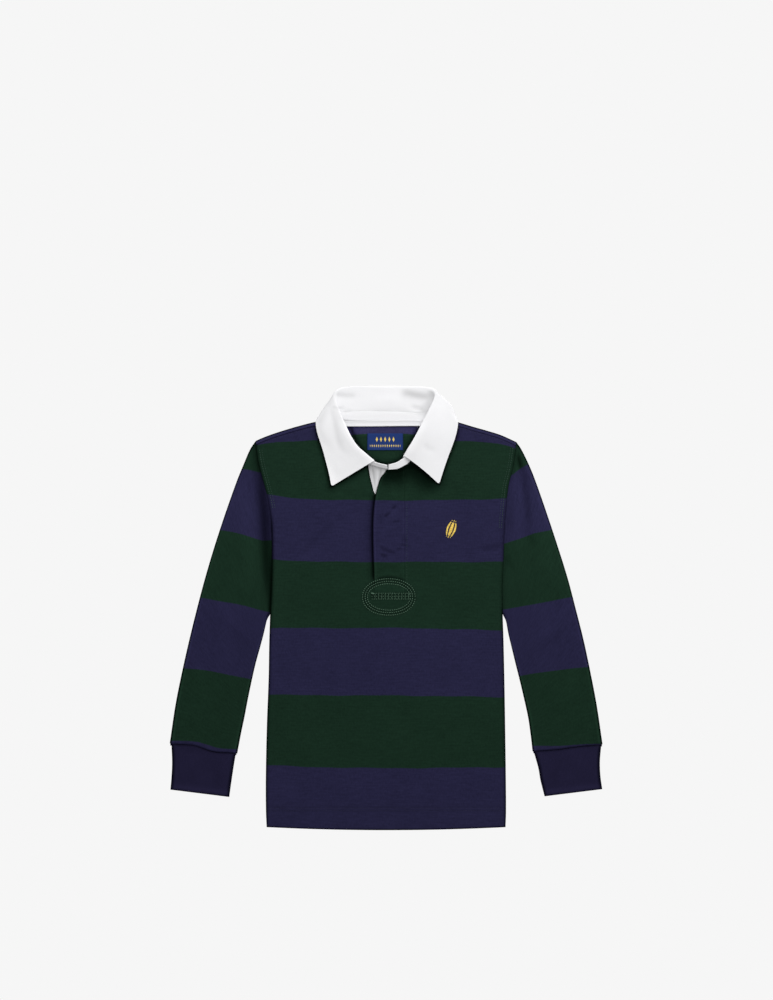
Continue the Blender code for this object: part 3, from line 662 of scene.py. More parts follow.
def side_turn(side: int, steps: int = 7) -> list[Column]:
    """The columns of a side's turned edge, from -X to +X, without the one on the flat.

    Args:
        side: -1 is the wearer's right.
        steps: how many columns, with the one on the flat.

    Returns:
        The columns.
    """
    silhouette = BODY.edge(side)
    made = []
    for angle in np.linspace(0.0, 90.0, steps)[:-1]:
        inset = BODY.edge_radius * (1 - math.cos(math.radians(angle)))
        made.append(Column(lambda y, inset=inset: silhouette(y) - side * inset, float(angle)))
    return made if side < 0 else made[::-1]


def panel_columns(middle: list[Column], steps: int) -> list[Column]:
    """A panel's columns: its own ones in the middle, with those of its two sides.

    Args:
        middle: the columns between the neck's two sides.
        steps: how many columns each side's flat part has.

    Returns:
        The columns, from -X to +X.
    """
    right = side_turn(-1) + between(BODY.inner_edge(-1), straight(-BODY.neck_half_width), steps)
    left = between(straight(BODY.neck_half_width), BODY.inner_edge(1), steps)
    return right + middle + left + [Column(BODY.inner_edge(1))] + side_turn(1)


@dataclass(frozen=True)
class PanelRows:
    """A body panel's rows: bowed ones at the hem, straight ones, and a fan up to its top line."""

    hem_steps: int = 9
    fan_steps: int = 30

    def levels(self) -> Array:
        """The straight rows' heights, closer together at the hem's stitching."""
        below = np.linspace(-243.6, -239.0, 9)
        middle = np.linspace(-239.0, BODY.notch_y, 104)[1:]
        above = np.linspace(BODY.notch_y, BODY.fan_y, 96)[1:]
        return np.concatenate([below, middle, above])

    def notch_row(self) -> int:
        """The number of the row at the notch's foot."""
        return self.hem_steps + int(np.argmin(np.abs(self.levels() - BODY.notch_y)))

    def heights(self, x: Array, top: Array) -> Array:
        """The Y of every row.

        Args:
            x: each row's place across.
            top: the panel's top line there.

        Returns:
            One height for each row.
        """
        levels = self.levels()
        hem_share = (np.arange(self.hem_steps) / self.hem_steps) ** 1.5
        fan_share = 1 - (1 - np.arange(1, self.fan_steps + 1) / self.fan_steps) ** 1.25
        hem = BODY.hem(x[: self.hem_steps])
        at_hem = hem + (levels[0] - hem) * hem_share
        at_fan = levels[-1] + (top[-self.fan_steps :] - levels[-1]) * fan_share
        return np.concatenate([at_hem, levels, at_fan])

    def points(self, columns: Sequence[Column], top_of: Line, height: Height, facing: Facing) -> Array:
        """A body panel's points, in rows from the hem up and from -X to +X.

        Args:
            columns: the panel's columns.
            top_of: its top line, as a function of x.
            height: the height of its good side.
            facing: which way that side faces.

        Returns:
            The points, as rows by columns by three.
        """
        made = []
        for step in columns:
            y = np.full(self.hem_steps + len(self.levels()) + self.fan_steps, BODY.fan_y)
            for _ in range(SOLVING_ROUNDS):
                x = step.line(y)
                y = self.heights(x, top_of(x))
            turn = 1 - ease(BODY.underarm_y, BODY.underarm_y + 11.0, y)
            drop = turn * (BODY.edge_radius - 0.15) * (1 - math.sin(math.radians(step.angle)))
            made.append(np.stack([x, y, height(x, y) - facing.value * drop], axis=-1))
        return np.stack(made, axis=1)


# ---- shader maths


class Value:
    """A number that varies over a surface. Arithmetic on it adds Math nodes."""

    def __init__(self, graph: "Graph", socket: Socket) -> None:
        """Wraps a socket of a graph."""
        self.graph = graph
        self.socket = socket

    def math(self, operation: str, *others: "Value | float") -> "Value":
        """The result of a Math node on this value and others."""
        inputs = {index: other for index, other in enumerate((self, *others))}
        return Value(self.graph, self.graph.node("ShaderNodeMath", {"operation": operation}, inputs).outputs[0])

    def __add__(self, other: "Value | float") -> "Value":
        """self + other."""
        return self.math("ADD", other)

    __radd__ = __add__

    def __sub__(self, other: "Value | float") -> "Value":
        """self - other."""
        return self.math("SUBTRACT", other)

    def __rsub__(self, other: float) -> "Value":
        """other - self."""
        return self * -1.0 + other

    def __mul__(self, other: "Value | float") -> "Value":
        """self * other."""
        return self.math("MULTIPLY", other)

    __rmul__ = __mul__

    def __truediv__(self, other: "Value | float") -> "Value":
        """self / other."""
        return self.math("DIVIDE", other)

    def __abs__(self) -> "Value":
        """The value without its sign."""
        return self.math("ABSOLUTE")

    def sine(self) -> "Value":
        """The sine of the value in radians."""
        return self.math("SINE")

    def waves(self, pitch: float) -> "Value":
        """Even waves from 0 to 1, one for each pitch."""
        return (self * (2 * math.pi / pitch)).sine() * 0.5 + 0.5

    def fraction(self) -> "Value":
        """What is left above the whole number below."""
        return self.math("FRACT")

    def held(self) -> "Value":
        """The value kept between 0 and 1."""
        return self.math("MAXIMUM", 0.0).math("MINIMUM", 1.0)

    def above(self, edge: float, softness: float) -> "Value":
        """0 below an edge and 1 above it, over a softness."""
        return ((self - edge) / softness + 0.5).held()


Colour = tuple[float, float, float]
Input = Any


class Graph:
    """A material and the nodes that make it."""

    def __init__(self, name: str) -> None:
        """Makes the material, with a Principled shader and an output."""
        self.material = bpy.data.materials.new(name)
        self.material.use_nodes = True
        self.tree = self.material.node_tree
        self.shader = self.tree.nodes["Principled BSDF"]

    def node(self, kind: str, settings: dict[str, Any], inputs: dict[Any, Input]) -> bpy.types.Node:
        """Adds a node.

        Args:
            kind: the node's type.
            settings: its settings, which are set first.
            inputs: values, colours or links for its sockets, by name or number.

        Returns:
            The node.
        """
        made = self.tree.nodes.new(kind)
        for name, setting in settings.items():
            setattr(made, name, setting)
        for name, given in inputs.items():
            self.feed(made.inputs[name], given)
        return made

    def feed(self, socket: Socket, given: Input) -> None:
        """Gives a socket a value, a colour or a link."""
        if isinstance(given, Value):
            given = given.socket
        if isinstance(given, Socket):
            self.tree.links.new(given, socket)
        else:
            socket.default_value = (*given, 1.0) if isinstance(given, tuple) else given

    def place(self) -> tuple[Value, Value, Value]:
        """The place on the cut cloth: across, along, and the stripe."""
        told = self.node("ShaderNodeAttribute", {"attribute_name": "cut_place"}, {})
        parts = self.node("ShaderNodeSeparateXYZ", {}, {0: told.outputs["Vector"]})
        return tuple(Value(self, parts.outputs[axis]) for axis in "XYZ")

    def open_share(self) -> Value:
        """What is left of the colour under the painted shade: 1 on the flat and where the surface faces straight
        down, less where shade is painted in troughs and at seams, more where a highlight is painted.
        """
        told = self.node("ShaderNodeAttribute", {"attribute_name": "painted_shade"}, {})
        surface = self.node("ShaderNodeNewGeometry", {}, {})
        facing = self.node("ShaderNodeSeparateXYZ", {}, {0: surface.outputs["Normal"]})
        # the painted shade darkens the colour everywhere except on faces that look straight down
        return 1.0 - Value(self, told.outputs["Fac"]) * Value(self, facing.outputs["Z"]).above(-0.93, 0.08)

    def noise(
        self, across: Value, along: Value, size: float, strength: float, detail: float = 2.0, depth: float = 0.0
    ) -> Value:
        """Soft unevenness about 0.

        Args:
            across: the first coordinate.
            along: the second coordinate.
            size: the size of its patches, in the coordinates' own unit.
            strength: how far it reaches, from its lowest to its highest.
            detail: how many finer layers it has.
            depth: the third coordinate, for a pattern of its own.

        Returns:
            The unevenness.
        """
        at = self.node("ShaderNodeCombineXYZ", {}, {0: across, 1: along, 2: depth})
        inputs = {"Vector": at.outputs[0], "Scale": 1.0 / size, "Detail": detail, "Roughness": 0.55}
        made = self.node("ShaderNodeTexNoise", {"noise_dimensions": "3D"}, inputs)
        return (Value(self, made.outputs[0]) - 0.5) * strength

    def mix(self, share: Value | float, low: Input, high: Input) -> Socket:
        """A colour between two colours."""
        return self.node("ShaderNodeMix", {"data_type": "RGBA"}, {0: share, 6: low, 7: high}).outputs[2]

    def tint(self, colour: Input, strength: Value) -> Socket:
        """A colour made lighter or darker by a strength, 1 leaving it as it is."""
        tone = self.node("ShaderNodeCombineColor", {}, {0: strength, 1: strength, 2: strength})
        settings = {"data_type": "RGBA", "blend_type": "MULTIPLY"}
        return self.node("ShaderNodeMix", settings, {0: 1.0, 6: colour, 7: tone.outputs[0]}).outputs[2]

    def bump(self, height: Value, strength: float, distance: float) -> Socket:
        """A normal that follows a fine height."""
        inputs = {"Strength": strength, "Distance": distance * MM, "Height": height}
        return self.node("ShaderNodeBump", {}, inputs).outputs["Normal"]

    def finish(self, inputs: dict[str, Input]) -> Finish:
        """Sets the shader.

        Args:
            inputs: values, colours or links for its sockets, by name.

        Returns:
            The material.
        """
        for name, given in inputs.items():
            self.feed(self.shader.inputs[name], given)
        return self.material


NAVY: Colour = (0.0224, 0.0212, 0.0582)
GREEN: Colour = (0.0109, 0.0290, 0.0175)
RIB_NAVY: Colour = (0.0193, 0.0173, 0.0463)
WHITE: Colour = (0.90, 0.90, 0.915)
LABEL_BLUE: Colour = (0.0118, 0.0365, 0.164)
GOLD: Colour = (0.95, 0.70, 0.14)
GREEN_THREAD: Colour = (0.080, 0.150, 0.103)
NAVY_THREAD: Colour = (0.036, 0.036, 0.085)
# a green lighter than the cloth's: partly the thread's own colour, partly a painted highlight for the seam's raised
# edge
SEAM_GREEN: Colour = (0.040, 0.078, 0.058)


@dataclass(frozen=True)
class Jersey:
    """Heavy cotton jersey in stripes dyed in the yarn."""

    name: str = "striped_jersey"
    navy: Colour = NAVY
    green: Colour = GREEN
    wale: float = 1.15
    course: float = 0.95
    stripe_edge: float = 0.9

    def material(self) -> Finish:
        """Makes the finish.

        Returns:
            The material.
        """
        graph = Graph(self.name)
        across, along, phase = graph.place()
        fray = graph.noise(across, along, 2.2, 0.012, 1.0)
        wave = ((phase + fray) * math.pi).sine()
        green = (wave * (-STRIPE_HEIGHT / (math.pi * self.stripe_edge)) + 0.5).held()
        colour = graph.mix(green, self.navy, self.green)
        patch = graph.noise(across, along, 38.0, 0.22, 3.0, 4.0)
        yarn = graph.noise(across * 0.12, along, 1.8, 0.5, 2.0, 9.0)
        fibre = graph.noise(across, along * 0.5, 1.7, 0.55, 2.0, 2.0)
        rib = abs((across * (math.pi / self.wale)).sine())
        stitch = (along * (2 * math.pi / self.course) + rib * 2.2).sine() * 0.5 + 0.5
        knit = rib * (stitch * 0.45 + 0.55)
        # the tone takes the painted shade and painted highlights through open_share
        tone = (patch + yarn + fibre + knit * 0.14 + 0.93) * graph.open_share()
        inputs = {"Base Color": graph.tint(colour, tone), "Normal": graph.bump(knit + fibre * 1.5, 0.45, 0.16)}
        return graph.finish(inputs | {"Roughness": knit * -0.08 + 0.92, "Specular IOR Level": 0.0})


@dataclass(frozen=True)
class Rib:
    """Soft rib knit for the cuffs, its ribs along the sleeve."""

    name: str = "navy_rib"
    colour: Colour = RIB_NAVY

    def material(self) -> Finish:
        """Makes the finish.

        Returns:
            The material.
        """
        graph = Graph(self.name)
        across, along, _ = graph.place()
        patch = graph.noise(across, along, 22.0, 0.3, 3.0, 1.0)
        fibre = graph.noise(across, along * 0.6, 0.8, 0.25, 2.0, 5.0)
        stitch = along.waves(1.0)
        # the tone takes the painted shade and painted highlights through open_share
        tone = (patch + fibre * 1.6 + stitch * 0.1 + 0.95) * graph.open_share()
        inputs = {"Base Color": graph.tint(self.colour, tone), "Normal": graph.bump(stitch + fibre * 2.0, 0.4, 0.14)}
        return graph.finish(inputs | {"Roughness": 0.93, "Specular IOR Level": 0.0})


@dataclass(frozen=True)
class Twill:
    """White cotton twill, its fine diagonal just to be seen."""

    name: str = "white_twill"
    colour: Colour = WHITE
    ridge: float = 0.75

    def material(self) -> Finish:
        """Makes the finish.

        Returns:
            The material.
        """
        graph = Graph(self.name)
        across, along, _ = graph.place()
        diagonal = (across + along * 1.6).waves(self.ridge * 1.89)
        weft = along.waves(0.5)
        fibre = graph.noise(across, along, 1.1, 0.05, 2.0, 3.0)
        patch = graph.noise(across, along, 26.0, 0.03, 2.0, 6.0)
        # the tone takes the painted shade and painted highlights through open_share
        tone = (diagonal * 0.02 + fibre + patch + 0.99) * graph.open_share()
        normal = graph.bump(diagonal + weft * 0.3 + fibre * 8.0, 0.35, 0.10)
        inputs = {"Base Color": graph.tint(self.colour, tone), "Normal": normal}
        return graph.finish(inputs | {"Roughness": 0.85, "Specular IOR Level": 0.2})


@dataclass(frozen=True)
class WovenLabel:
    """A woven satin label: a row of gold diamonds over a row of smaller ones, on blue."""

    name: str = "woven_label"
    ground: Colour = LABEL_BLUE
    figure: Colour = GOLD
    centre: tuple[float, float] = (-1.0, 199.4)
    half_width: float = 21.5
    pitch: float = 5.0
    small_pitch: float = 2.6

    def material(self) -> Finish:
        """Makes the finish.

        Returns:
            The material.
        """
        graph = Graph(self.name)
        across, along, _ = graph.place()
        x, y = across - self.centre[0], along - self.centre[1]

        def row(pitch: float, level: float, half_width: float) -> Value:
            """A row of upright diamonds, as a share of gold."""
            cell = abs((x / pitch + 0.5).fraction() - 0.5) * pitch
            shape = ((cell + abs(y - level) * 0.42) * -1.0).above(-0.26 * pitch, 0.5)
            return shape * (abs(x) * -1.0).above(-half_width, 0.3)

        diamonds = row(self.pitch, 2.9, 12.4)
        rule = row(self.small_pitch, -4.8, 18.2)
        edge = abs(x).above(self.half_width - 1.1, 0.3)
        thread, warp = along.waves(0.42), across.waves(0.6)
        colour = graph.mix((diamonds + rule).held() * 0.92, self.ground, self.figure)
        tone = thread * 0.18 + warp * 0.06 + edge * -0.25 + graph.noise(across, along, 0.7, 0.3, 1.0) + 0.9
        normal = graph.bump(thread + warp * 0.4 + diamonds * 1.2, 0.5, 0.08)
        inputs = {"Base Color": graph.tint(colour, tone), "Normal": normal}
        return graph.finish(inputs | {"Roughness": 0.6, "Specular IOR Level": 0.15})


@dataclass(frozen=True)
class Thread:
    """Sewing or embroidery thread."""

    name: str
    colour: Colour
    roughness: float = 0.7
    gloss: float = 0.2

    def material(self) -> Finish:
        """Makes the finish.

        Returns:
            The material.
        """
        graph = Graph(self.name)
        across, along, _ = graph.place()
        ply = (across + along).waves(0.55)
        tone = ply * 0.22 + graph.noise(across, along, 1.6, 0.3) + 0.92
        inputs = {"Base Color": graph.tint(self.colour, tone), "Normal": graph.bump(ply, 0.4, 0.06)}
        return graph.finish(inputs | {"Roughness": self.roughness, "Specular IOR Level": self.gloss})


# ---- the pieces


def sewn_on(piece: Piece, finish: Finish) -> Piece:
    """Finishes a piece that no solid stands for, and reports it.

    Args:
        piece: the piece.
        finish: its material.

    Returns:
        The piece.
    """
    piece.data.materials.append(finish)
    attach(piece, "root")
    LOG.info("%s: %d faces", piece.name, len(piece.data.polygons))
    return piece


@dataclass(frozen=True)
class Sheet:
    """A cut piece of cloth: what it stands for, its finish, and the size it is cut to, in metres."""

    name: str
    node: str
    slot: Slot
    flat: tuple[float, float]
    area: float | None = None
    rests_on: tuple[str, ...] = ()

    def make(self, grid: ClothGrid, wall: Wall, finish: Finish) -> Piece:
        """Makes the shell, puts the finish on, hangs it on the root, hides the solid it stands for and logs its faces.

        Args:
            grid: the shell's points.
            wall: the cloth's wall.
            finish: its material.

        Returns:
            The shell.
        """
        piece = new_object(self.name, grid.mesh(self.name))
        thicken(piece, wall)
        piece.data.materials.append(finish)
        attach(piece, "root")
        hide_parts(self.node)
        LOG.info("%s: %d faces before its wall", piece.name, len(piece.data.polygons))
        return piece


@dataclass(kw_only=True)
class ClothPiece:
    """A piece cut from cloth. Each kind lays out its own grid."""

    sheet: Sheet
    wall: Wall = Wall(BODY.jersey)

    def grid(self) -> ClothGrid:
        """The points of the piece's good side."""
        raise NotImplementedError

    def build(self, finish: Finish) -> Piece:
        """Makes the piece, with the finish on."""
        return self.sheet.make(self.grid(), self.wall, finish)


@dataclass
class BackPanel(ClothPiece):
    """The back, whose shoulders turn over to the forward shoulder seams."""

    sheet: Sheet = Sheet("back_cloth", "back", Slot.JERSEY, (0.312, 0.500), 0.1405, ("collar_fall_cloth",))
    turn_steps: int = 12
    top_stripe: StripeRow = StripeRow(208.8, 193.0, 195.4, 2.5)
    # paths of painted shadow on the back's inside, along the leaves' inner edges
    leaf_shadow_paths: tuple[Path, ...] = (
        ((-44.4, 221), (-34, 197), (-18, 178), (2.4, 171.6)),
        ((42, 221), (30, 199), (18.6, 179), (2.4, 171.6)),
    )
    creases: tuple[Crease, ...] = table(
        Crease,
        (((-118, 152), (-96, 112), (-60, 84)), 0.75, 6), (((-126, 64), (-100, 32), (-62, 18)), 0.6, 6),
        (((116, 148), (94, 114), (58, 92)), 0.75, 6), (((124, 44), (96, 24), (56, 20)), 0.55, 7),
        (((-110, -58), (-60, -74), (-10, -64)), 0.65, 9), (((20, -128), (70, -118), (120, -134)), 0.6, 10),
        (((-104, -190), (-60, -180), (-12, -188)), 0.5, 9),
    )
    ripple: Undulation = Undulation(seed=5, height=0.05)

    def shoulder_row(self, columns: Sequence[Column], angle: float, forward: float) -> Array:
        """A row of the cloth that turns over the shoulder.

        Args:
            columns: the panel's columns.
            angle: how far round the turn it is, in degrees.
            forward: how far past the turn it is.

        Returns:
            The row's points.
        """
        tip = math.radians(angle)
        row = []
        for step in columns:
            y = np.array([BODY.back_neck_y])
            for _ in range(SOLVING_ROUNDS):
                x = step.line(y)
                y = BODY.shoulder(x) + BODY.edge_radius * (math.sin(tip) - 1) - forward
            z = BODY.edge_radius * (1 - math.cos(tip)) + BODY.lift(x, y)
            row.append([x[0], y[0], z[0]])
        return np.array(row)

    def height(self, x: Array, y: Array) -> Array:
        """The height of the good side, which faces down."""
        visible = ease(60.0, 40.0, np.abs(x)) * ease(160.0, 175.0, y)
        return BODY.lift(x, y) + np.abs(self.ripple(x, y)) * visible + relief(self.creases, x, y)

    def grid(self) -> ClothGrid:
        """The points of the panel.

        Returns:
            The grid, from the hem up and over the shoulders.
        """
        middle = between(straight(-BODY.neck_half_width), straight(BODY.neck_half_width), 40)
        columns = panel_columns(middle, 26)
        points = PanelRows().points(columns, BODY.back_top, self.height, Facing.DOWN)
        first_turn = len(points) - 1
        turned = [self.shoulder_row(columns, angle, 0.0) for angle in np.linspace(0, 180, self.turn_steps + 1)[1:]]
        flat = BODY.seam_forward - BODY.edge_radius
        turned += [self.shoulder_row(columns, 180.0, flat * share) for share in (0.4, 0.75, 1.0)]
        for share, row in zip((0.0, 0.0, 0.4), turned[-3:]):
            row[:, 2] -= share
        points = np.concatenate([points, np.stack(turned)])
        face_x = (points[0, 1:, 0] + points[0, :-1, 0]) / 2
        kept = np.ones((len(points) - 1, len(columns) - 1), bool)
        kept[first_turn:, np.abs(face_x) < BODY.neck_half_width] = False
        cut = body_cut(points, (*BODY.stripes[:-1], self.top_stripe))
        x, y = points[..., 0], points[..., 1]
        # inside the neck: the navy made lighter, a painted shadow line under the tape, and painted shadows along the
        # leaves
        in_neck = ease(64.0, 50.0, np.abs(x)) * ease(160.0, 176.0, y)
        shade = (-0.66 * ease(206.5, 209.5, y) - 0.06) * in_neck + 1.35 * bell(y - 217.5, 1.2) * in_neck
        for path in self.leaf_shadow_paths:
            away, _ = nearness(path, x, y)
            shade = np.maximum(shade, 0.6 * bell(away, 1.9) + 0.22 * bell(away, 5.0) + shade * ease(0.0, 5.0, away))
        # painted dark outline round the shoulders' turn, a painted highlight past it, a painted line at the seam, and
        # painted shade in the creases underneath
        seam = np.zeros(shade.shape)
        seam[first_turn + 3 : first_turn + 11] = 0.86
        seam[first_turn + 11 : -1] = -0.24
        seam[-1] = np.where(x[-1] < 0, 0.40, 0.10)
        shade = np.where(np.abs(x) < BODY.neck_half_width, shade, seam) + 0.28 * relief(self.creases, x, y)
        return ClothGrid(points, cut, facing=Facing.DOWN, kept=kept, shade=shade)


@dataclass
class FrontPanel(ClothPiece):
    """The front, with its notch for the placket. Its own edge goes a little way under the flap."""

    sheet: Sheet = Sheet("front_cloth", "front", Slot.JERSEY, (0.311, 0.489), 0.1285, ("back_cloth",))
    underlap: float = 2.4

    def slit_edge(self, y: Array) -> Array:
        """The front's edge along the placket, as a line of y."""
        front, flap = BODY.slit_line("front")(y), BODY.slit_line("flap")(y)
        hidden = (1 - ease(1.6, 3.4, flap - front)) * ease(BODY.notch_y, BODY.notch_y + 6.0, y)
        return front + self.underlap * hidden

    def face(self, x: Array, y: Array) -> Array:
        """The height of the upper face, sunk where the flap laps it."""
        beside = self.slit_edge(y) - x
        groove = (1 - ease(0.6, 4.6, beside)) * ease(-6.0, 0.5, beside)
        sunk = groove * ease(24.0, 40.0, y) * (1 - ease(138.0, 150.0, y))
        rolled = (1 - ease(0.0, 1.6, np.abs(beside))) * ease(132.0, 146.0, y) * 0.5
        return BODY.front_face(x, y) - 1.35 * sunk - rolled

    def shade(self, x: Array, y: Array) -> Array:
        """How much painted shade the panel has, most of all the painted shadow that the flap's free edge throws into
        the groove.

        Args:
            x: places across.
            y: places along.

        Returns:
            The painted shade.
        """
        away = BODY.slit_line("flap")(y) - x
        beside = 0.66 * bell(away, 3.0) + 0.26 * bell(away, 7.5)
        groove = beside * (away > -3.0) * ease(28.0, 40.0, y)
        open_share = ease(132.0, 150.0, y)
        edge = 0.75 * bell(self.slit_edge(y) - x, 1.6) * open_share
        # painted highlights on the stitched seam and on a line beside it
        seam = -0.16 * bell(x - BODY.stitch_x, 0.9) - 0.16 * bell(x - BODY.stitch_x - 3.4, 0.9)
        seam = seam * ease(BODY.notch_y, 30.0, y)
        return np.maximum(BODY.front_shade(x, y), groove * (1 - open_share)) + edge * (np.abs(x) < 30.0) + seam

    def grid(self) -> ClothGrid:
        """The points of the panel.

        Returns:
            The grid, from the hem up, without the notch.
        """
        right, stitch, left = (straight(x) for x in (-BODY.neck_half_width, BODY.stitch_x, BODY.neck_half_width))
        slit = BODY.slit_line("front")
        near = between(right, lambda y: slit(y) - 6.0, 17) + between(lambda y: slit(y) - 6.0, self.slit_edge, 9)
        notch = between(self.slit_edge, stitch, 18)
        columns = panel_columns(near + notch + between(stitch, left, 18), 34)
        first = next(number for number, step in enumerate(columns) if step is notch[0])
        points = PanelRows().points(columns, BODY.front_top, self.face, Facing.UP)
        kept = np.ones((points.shape[0] - 1, points.shape[1] - 1), bool)
        kept[PanelRows().notch_row() :, first : first + len(notch)] = False
        return ClothGrid(points, body_cut(points), kept=kept, shade=self.shade(points[..., 0], points[..., 1]))


@dataclass
class PlacketFlap(ClothPiece):
    """The placket's top strip, from the notch's foot to the neck seam, its free edge folded and full."""

    sheet: Sheet = Sheet(
        "placket_flap_cloth", "placket_flap", Slot.JERSEY, (0.0385, 0.1585), 0.0056, ("under_placket_cloth",)
    )
    wall: Wall = Wall(BODY.jersey, soft_edge=0.25)

    def face(self, x: Array, y: Array) -> Array:
        """The height of the upper face: raised and rounded at the free edge, level at the stitched seam."""
        beside = x - BODY.slit_line("flap")(y)
        rise = BODY.flap_rise * (1 - ease(0.0, 20.0, beside))
        rim = -0.75 * (1 - ease(0.0, 1.5, beside)) - 0.15 * bell(beside - 4.2, 1.4)
        foot = -0.15 * bell(y - BODY.notch_y, 1.2)
        return BODY.front_face(x, y) + 0.05 + rise + rim + foot

    def shade(self, x: Array, y: Array) -> Array:
        """Painted shade on the strip: dark under its free edge, with a painted highlight along a rim beside it, and
        lighter at its stitched side.
        """
        beside = x - BODY.slit_line("flap")(y)
        rim = (0.75 * bell(beside, 0.9) - 0.20 * bell(beside - 2.2, 1.0)) * ease(BODY.notch_y + 2.0, 40.0, y)
        return BODY.front_shade(x, y) + rim - 0.12 * bell(BODY.stitch_x - x, 1.2)

    def grid(self) -> ClothGrid:
        """The points of the flap."""
        edge, seam = BODY.slit_line("flap"), straight(BODY.stitch_x + 0.3)
        columns = between(edge, seam, 26, crowded=True) + [Column(seam)]
        points = PanelRows().points(columns, BODY.front_top, self.face, Facing.UP)
        points = points[PanelRows().notch_row() :]
        points[0, :, 1] += BODY.seam_gap
        return ClothGrid(points, body_cut(points), shade=self.shade(points[..., 0], points[..., 1]))


@dataclass
class UnderPlacket(ClothPiece):
    """The white strip that the flap laps: it shows as a small V under the collar."""

    sheet: Sheet = Sheet(
        "under_placket_cloth", "under_placket", Slot.TWILL, (0.042, 0.147), None, ("back_cloth",)
    )
    right_x: float = -24.0
    left_x: float = 18.0
    over_seam: float = 2.6
    bottom_y: float = 20.0
    wall: Wall = Wall(0.9)
    creases: tuple[Crease, ...] = table(
        Crease,
        (((-17, 172), (-14.6, 158), (-13, 142)), -0.5, 1.3), (((-11, 170), (-10.4, 156), (-11.6, 144)), 0.35, 1.3),
        (((-5, 170), (-7.4, 158), (-10, 148)), -0.4, 1.2),
    )

    def grid(self) -> ClothGrid:
        """The points of the strip."""
        x, share = np.meshgrid(np.linspace(self.right_x, self.left_x, 48), np.linspace(0, 1, 110))
        y = self.bottom_y + (BODY.front_top(x) + self.over_seam - self.bottom_y) * share
        folds = relief(self.creases, x, y)
        points = np.stack([x, y, 2.45 + 0.6 * ease(130.0, 167.0, y) + folds], axis=-1)
        # painted shade, deepest at the top under the collar, and in the strip's creases
        shade = 0.16 + 0.26 * ease(146.0, 170.0, y) + darker(folds, 0.35)
        return ClothGrid(points, plain_cut(points), shade=shade)


@dataclass
class NeckTape(ClothPiece):
    """White tape along the back neck seam."""

    sheet: Sheet = Sheet("neck_tape_cloth", "neck_tape", Slot.TWILL, (0.108, 0.0101), 0.00075, ("back_cloth",))
    half_length: float = 54.0
    width: float = 7.2
    wall: Wall = Wall(0.7)

    def grid(self) -> ClothGrid:
        """The points of the tape."""
        top = BODY.back_neck_y + 1.4
        x, y = np.meshgrid(np.linspace(-self.half_length, self.half_length, 120), np.linspace(top - self.width, top, 9))
        edge = np.minimum(y - top + self.width, top - y)
        z = BODY.lift(x, y) + BODY.jersey + 1.15 - 0.2 * bell(edge, 0.5) + 0.05 * np.sin(x / 5.0)
        points = np.stack([x, y + 0.25 * np.sin(x / 19.0), z], axis=-1)
        # painted shade on the tape's upper part, under the stand, and a little lighter elsewhere
        shade = 0.14 * bell(y - top + 1.0, 1.4) + 0.11 * ease(top - 5.6, top - 4.2, y) - 0.06
        return ClothGrid(points, plain_cut(points), shade=shade)


@dataclass
class NeckLabel(ClothPiece):
    """The woven label on the inside of the back, held at its short ends."""

    sheet: Sheet = Sheet("neck_label_cloth", "neck_label", Slot.LABEL, (0.043, 0.020), None, ("back_cloth",))
    centre: tuple[float, float] = (-1.0, 199.4)
    width: float = 43.0
    height: float = 20.0
    wall: Wall = Wall(0.5)

    def grid(self) -> ClothGrid:
        """The points of the label."""
        across = self.centre[0] + self.width * (np.linspace(0, 1, 60) - 0.5)
        along = self.centre[1] + self.height * (np.linspace(0, 1, 30) - 0.5)
        x, y = np.meshgrid(across, along)
        held = 1 - np.abs((x - self.centre[0]) / self.width * 2) ** 4
        z = BODY.lift(x, y) + BODY.jersey + 0.85 + 0.25 * held + 0.07 * np.sin(x / 3.3 + y / 6.0) * held
        points = np.stack([x, y, z], axis=-1)
        return ClothGrid(points, plain_cut(points))


# ---- sleeves and cuffs


class SleeveRow(NamedTuple):
    """A section of a sleeve or cuff: its outer and inner silhouette, and its share of the armhole's curve."""

    outer_x: float
    outer_y: float
    inner_x: float
    inner_y: float
    armhole_share: float = 0.0


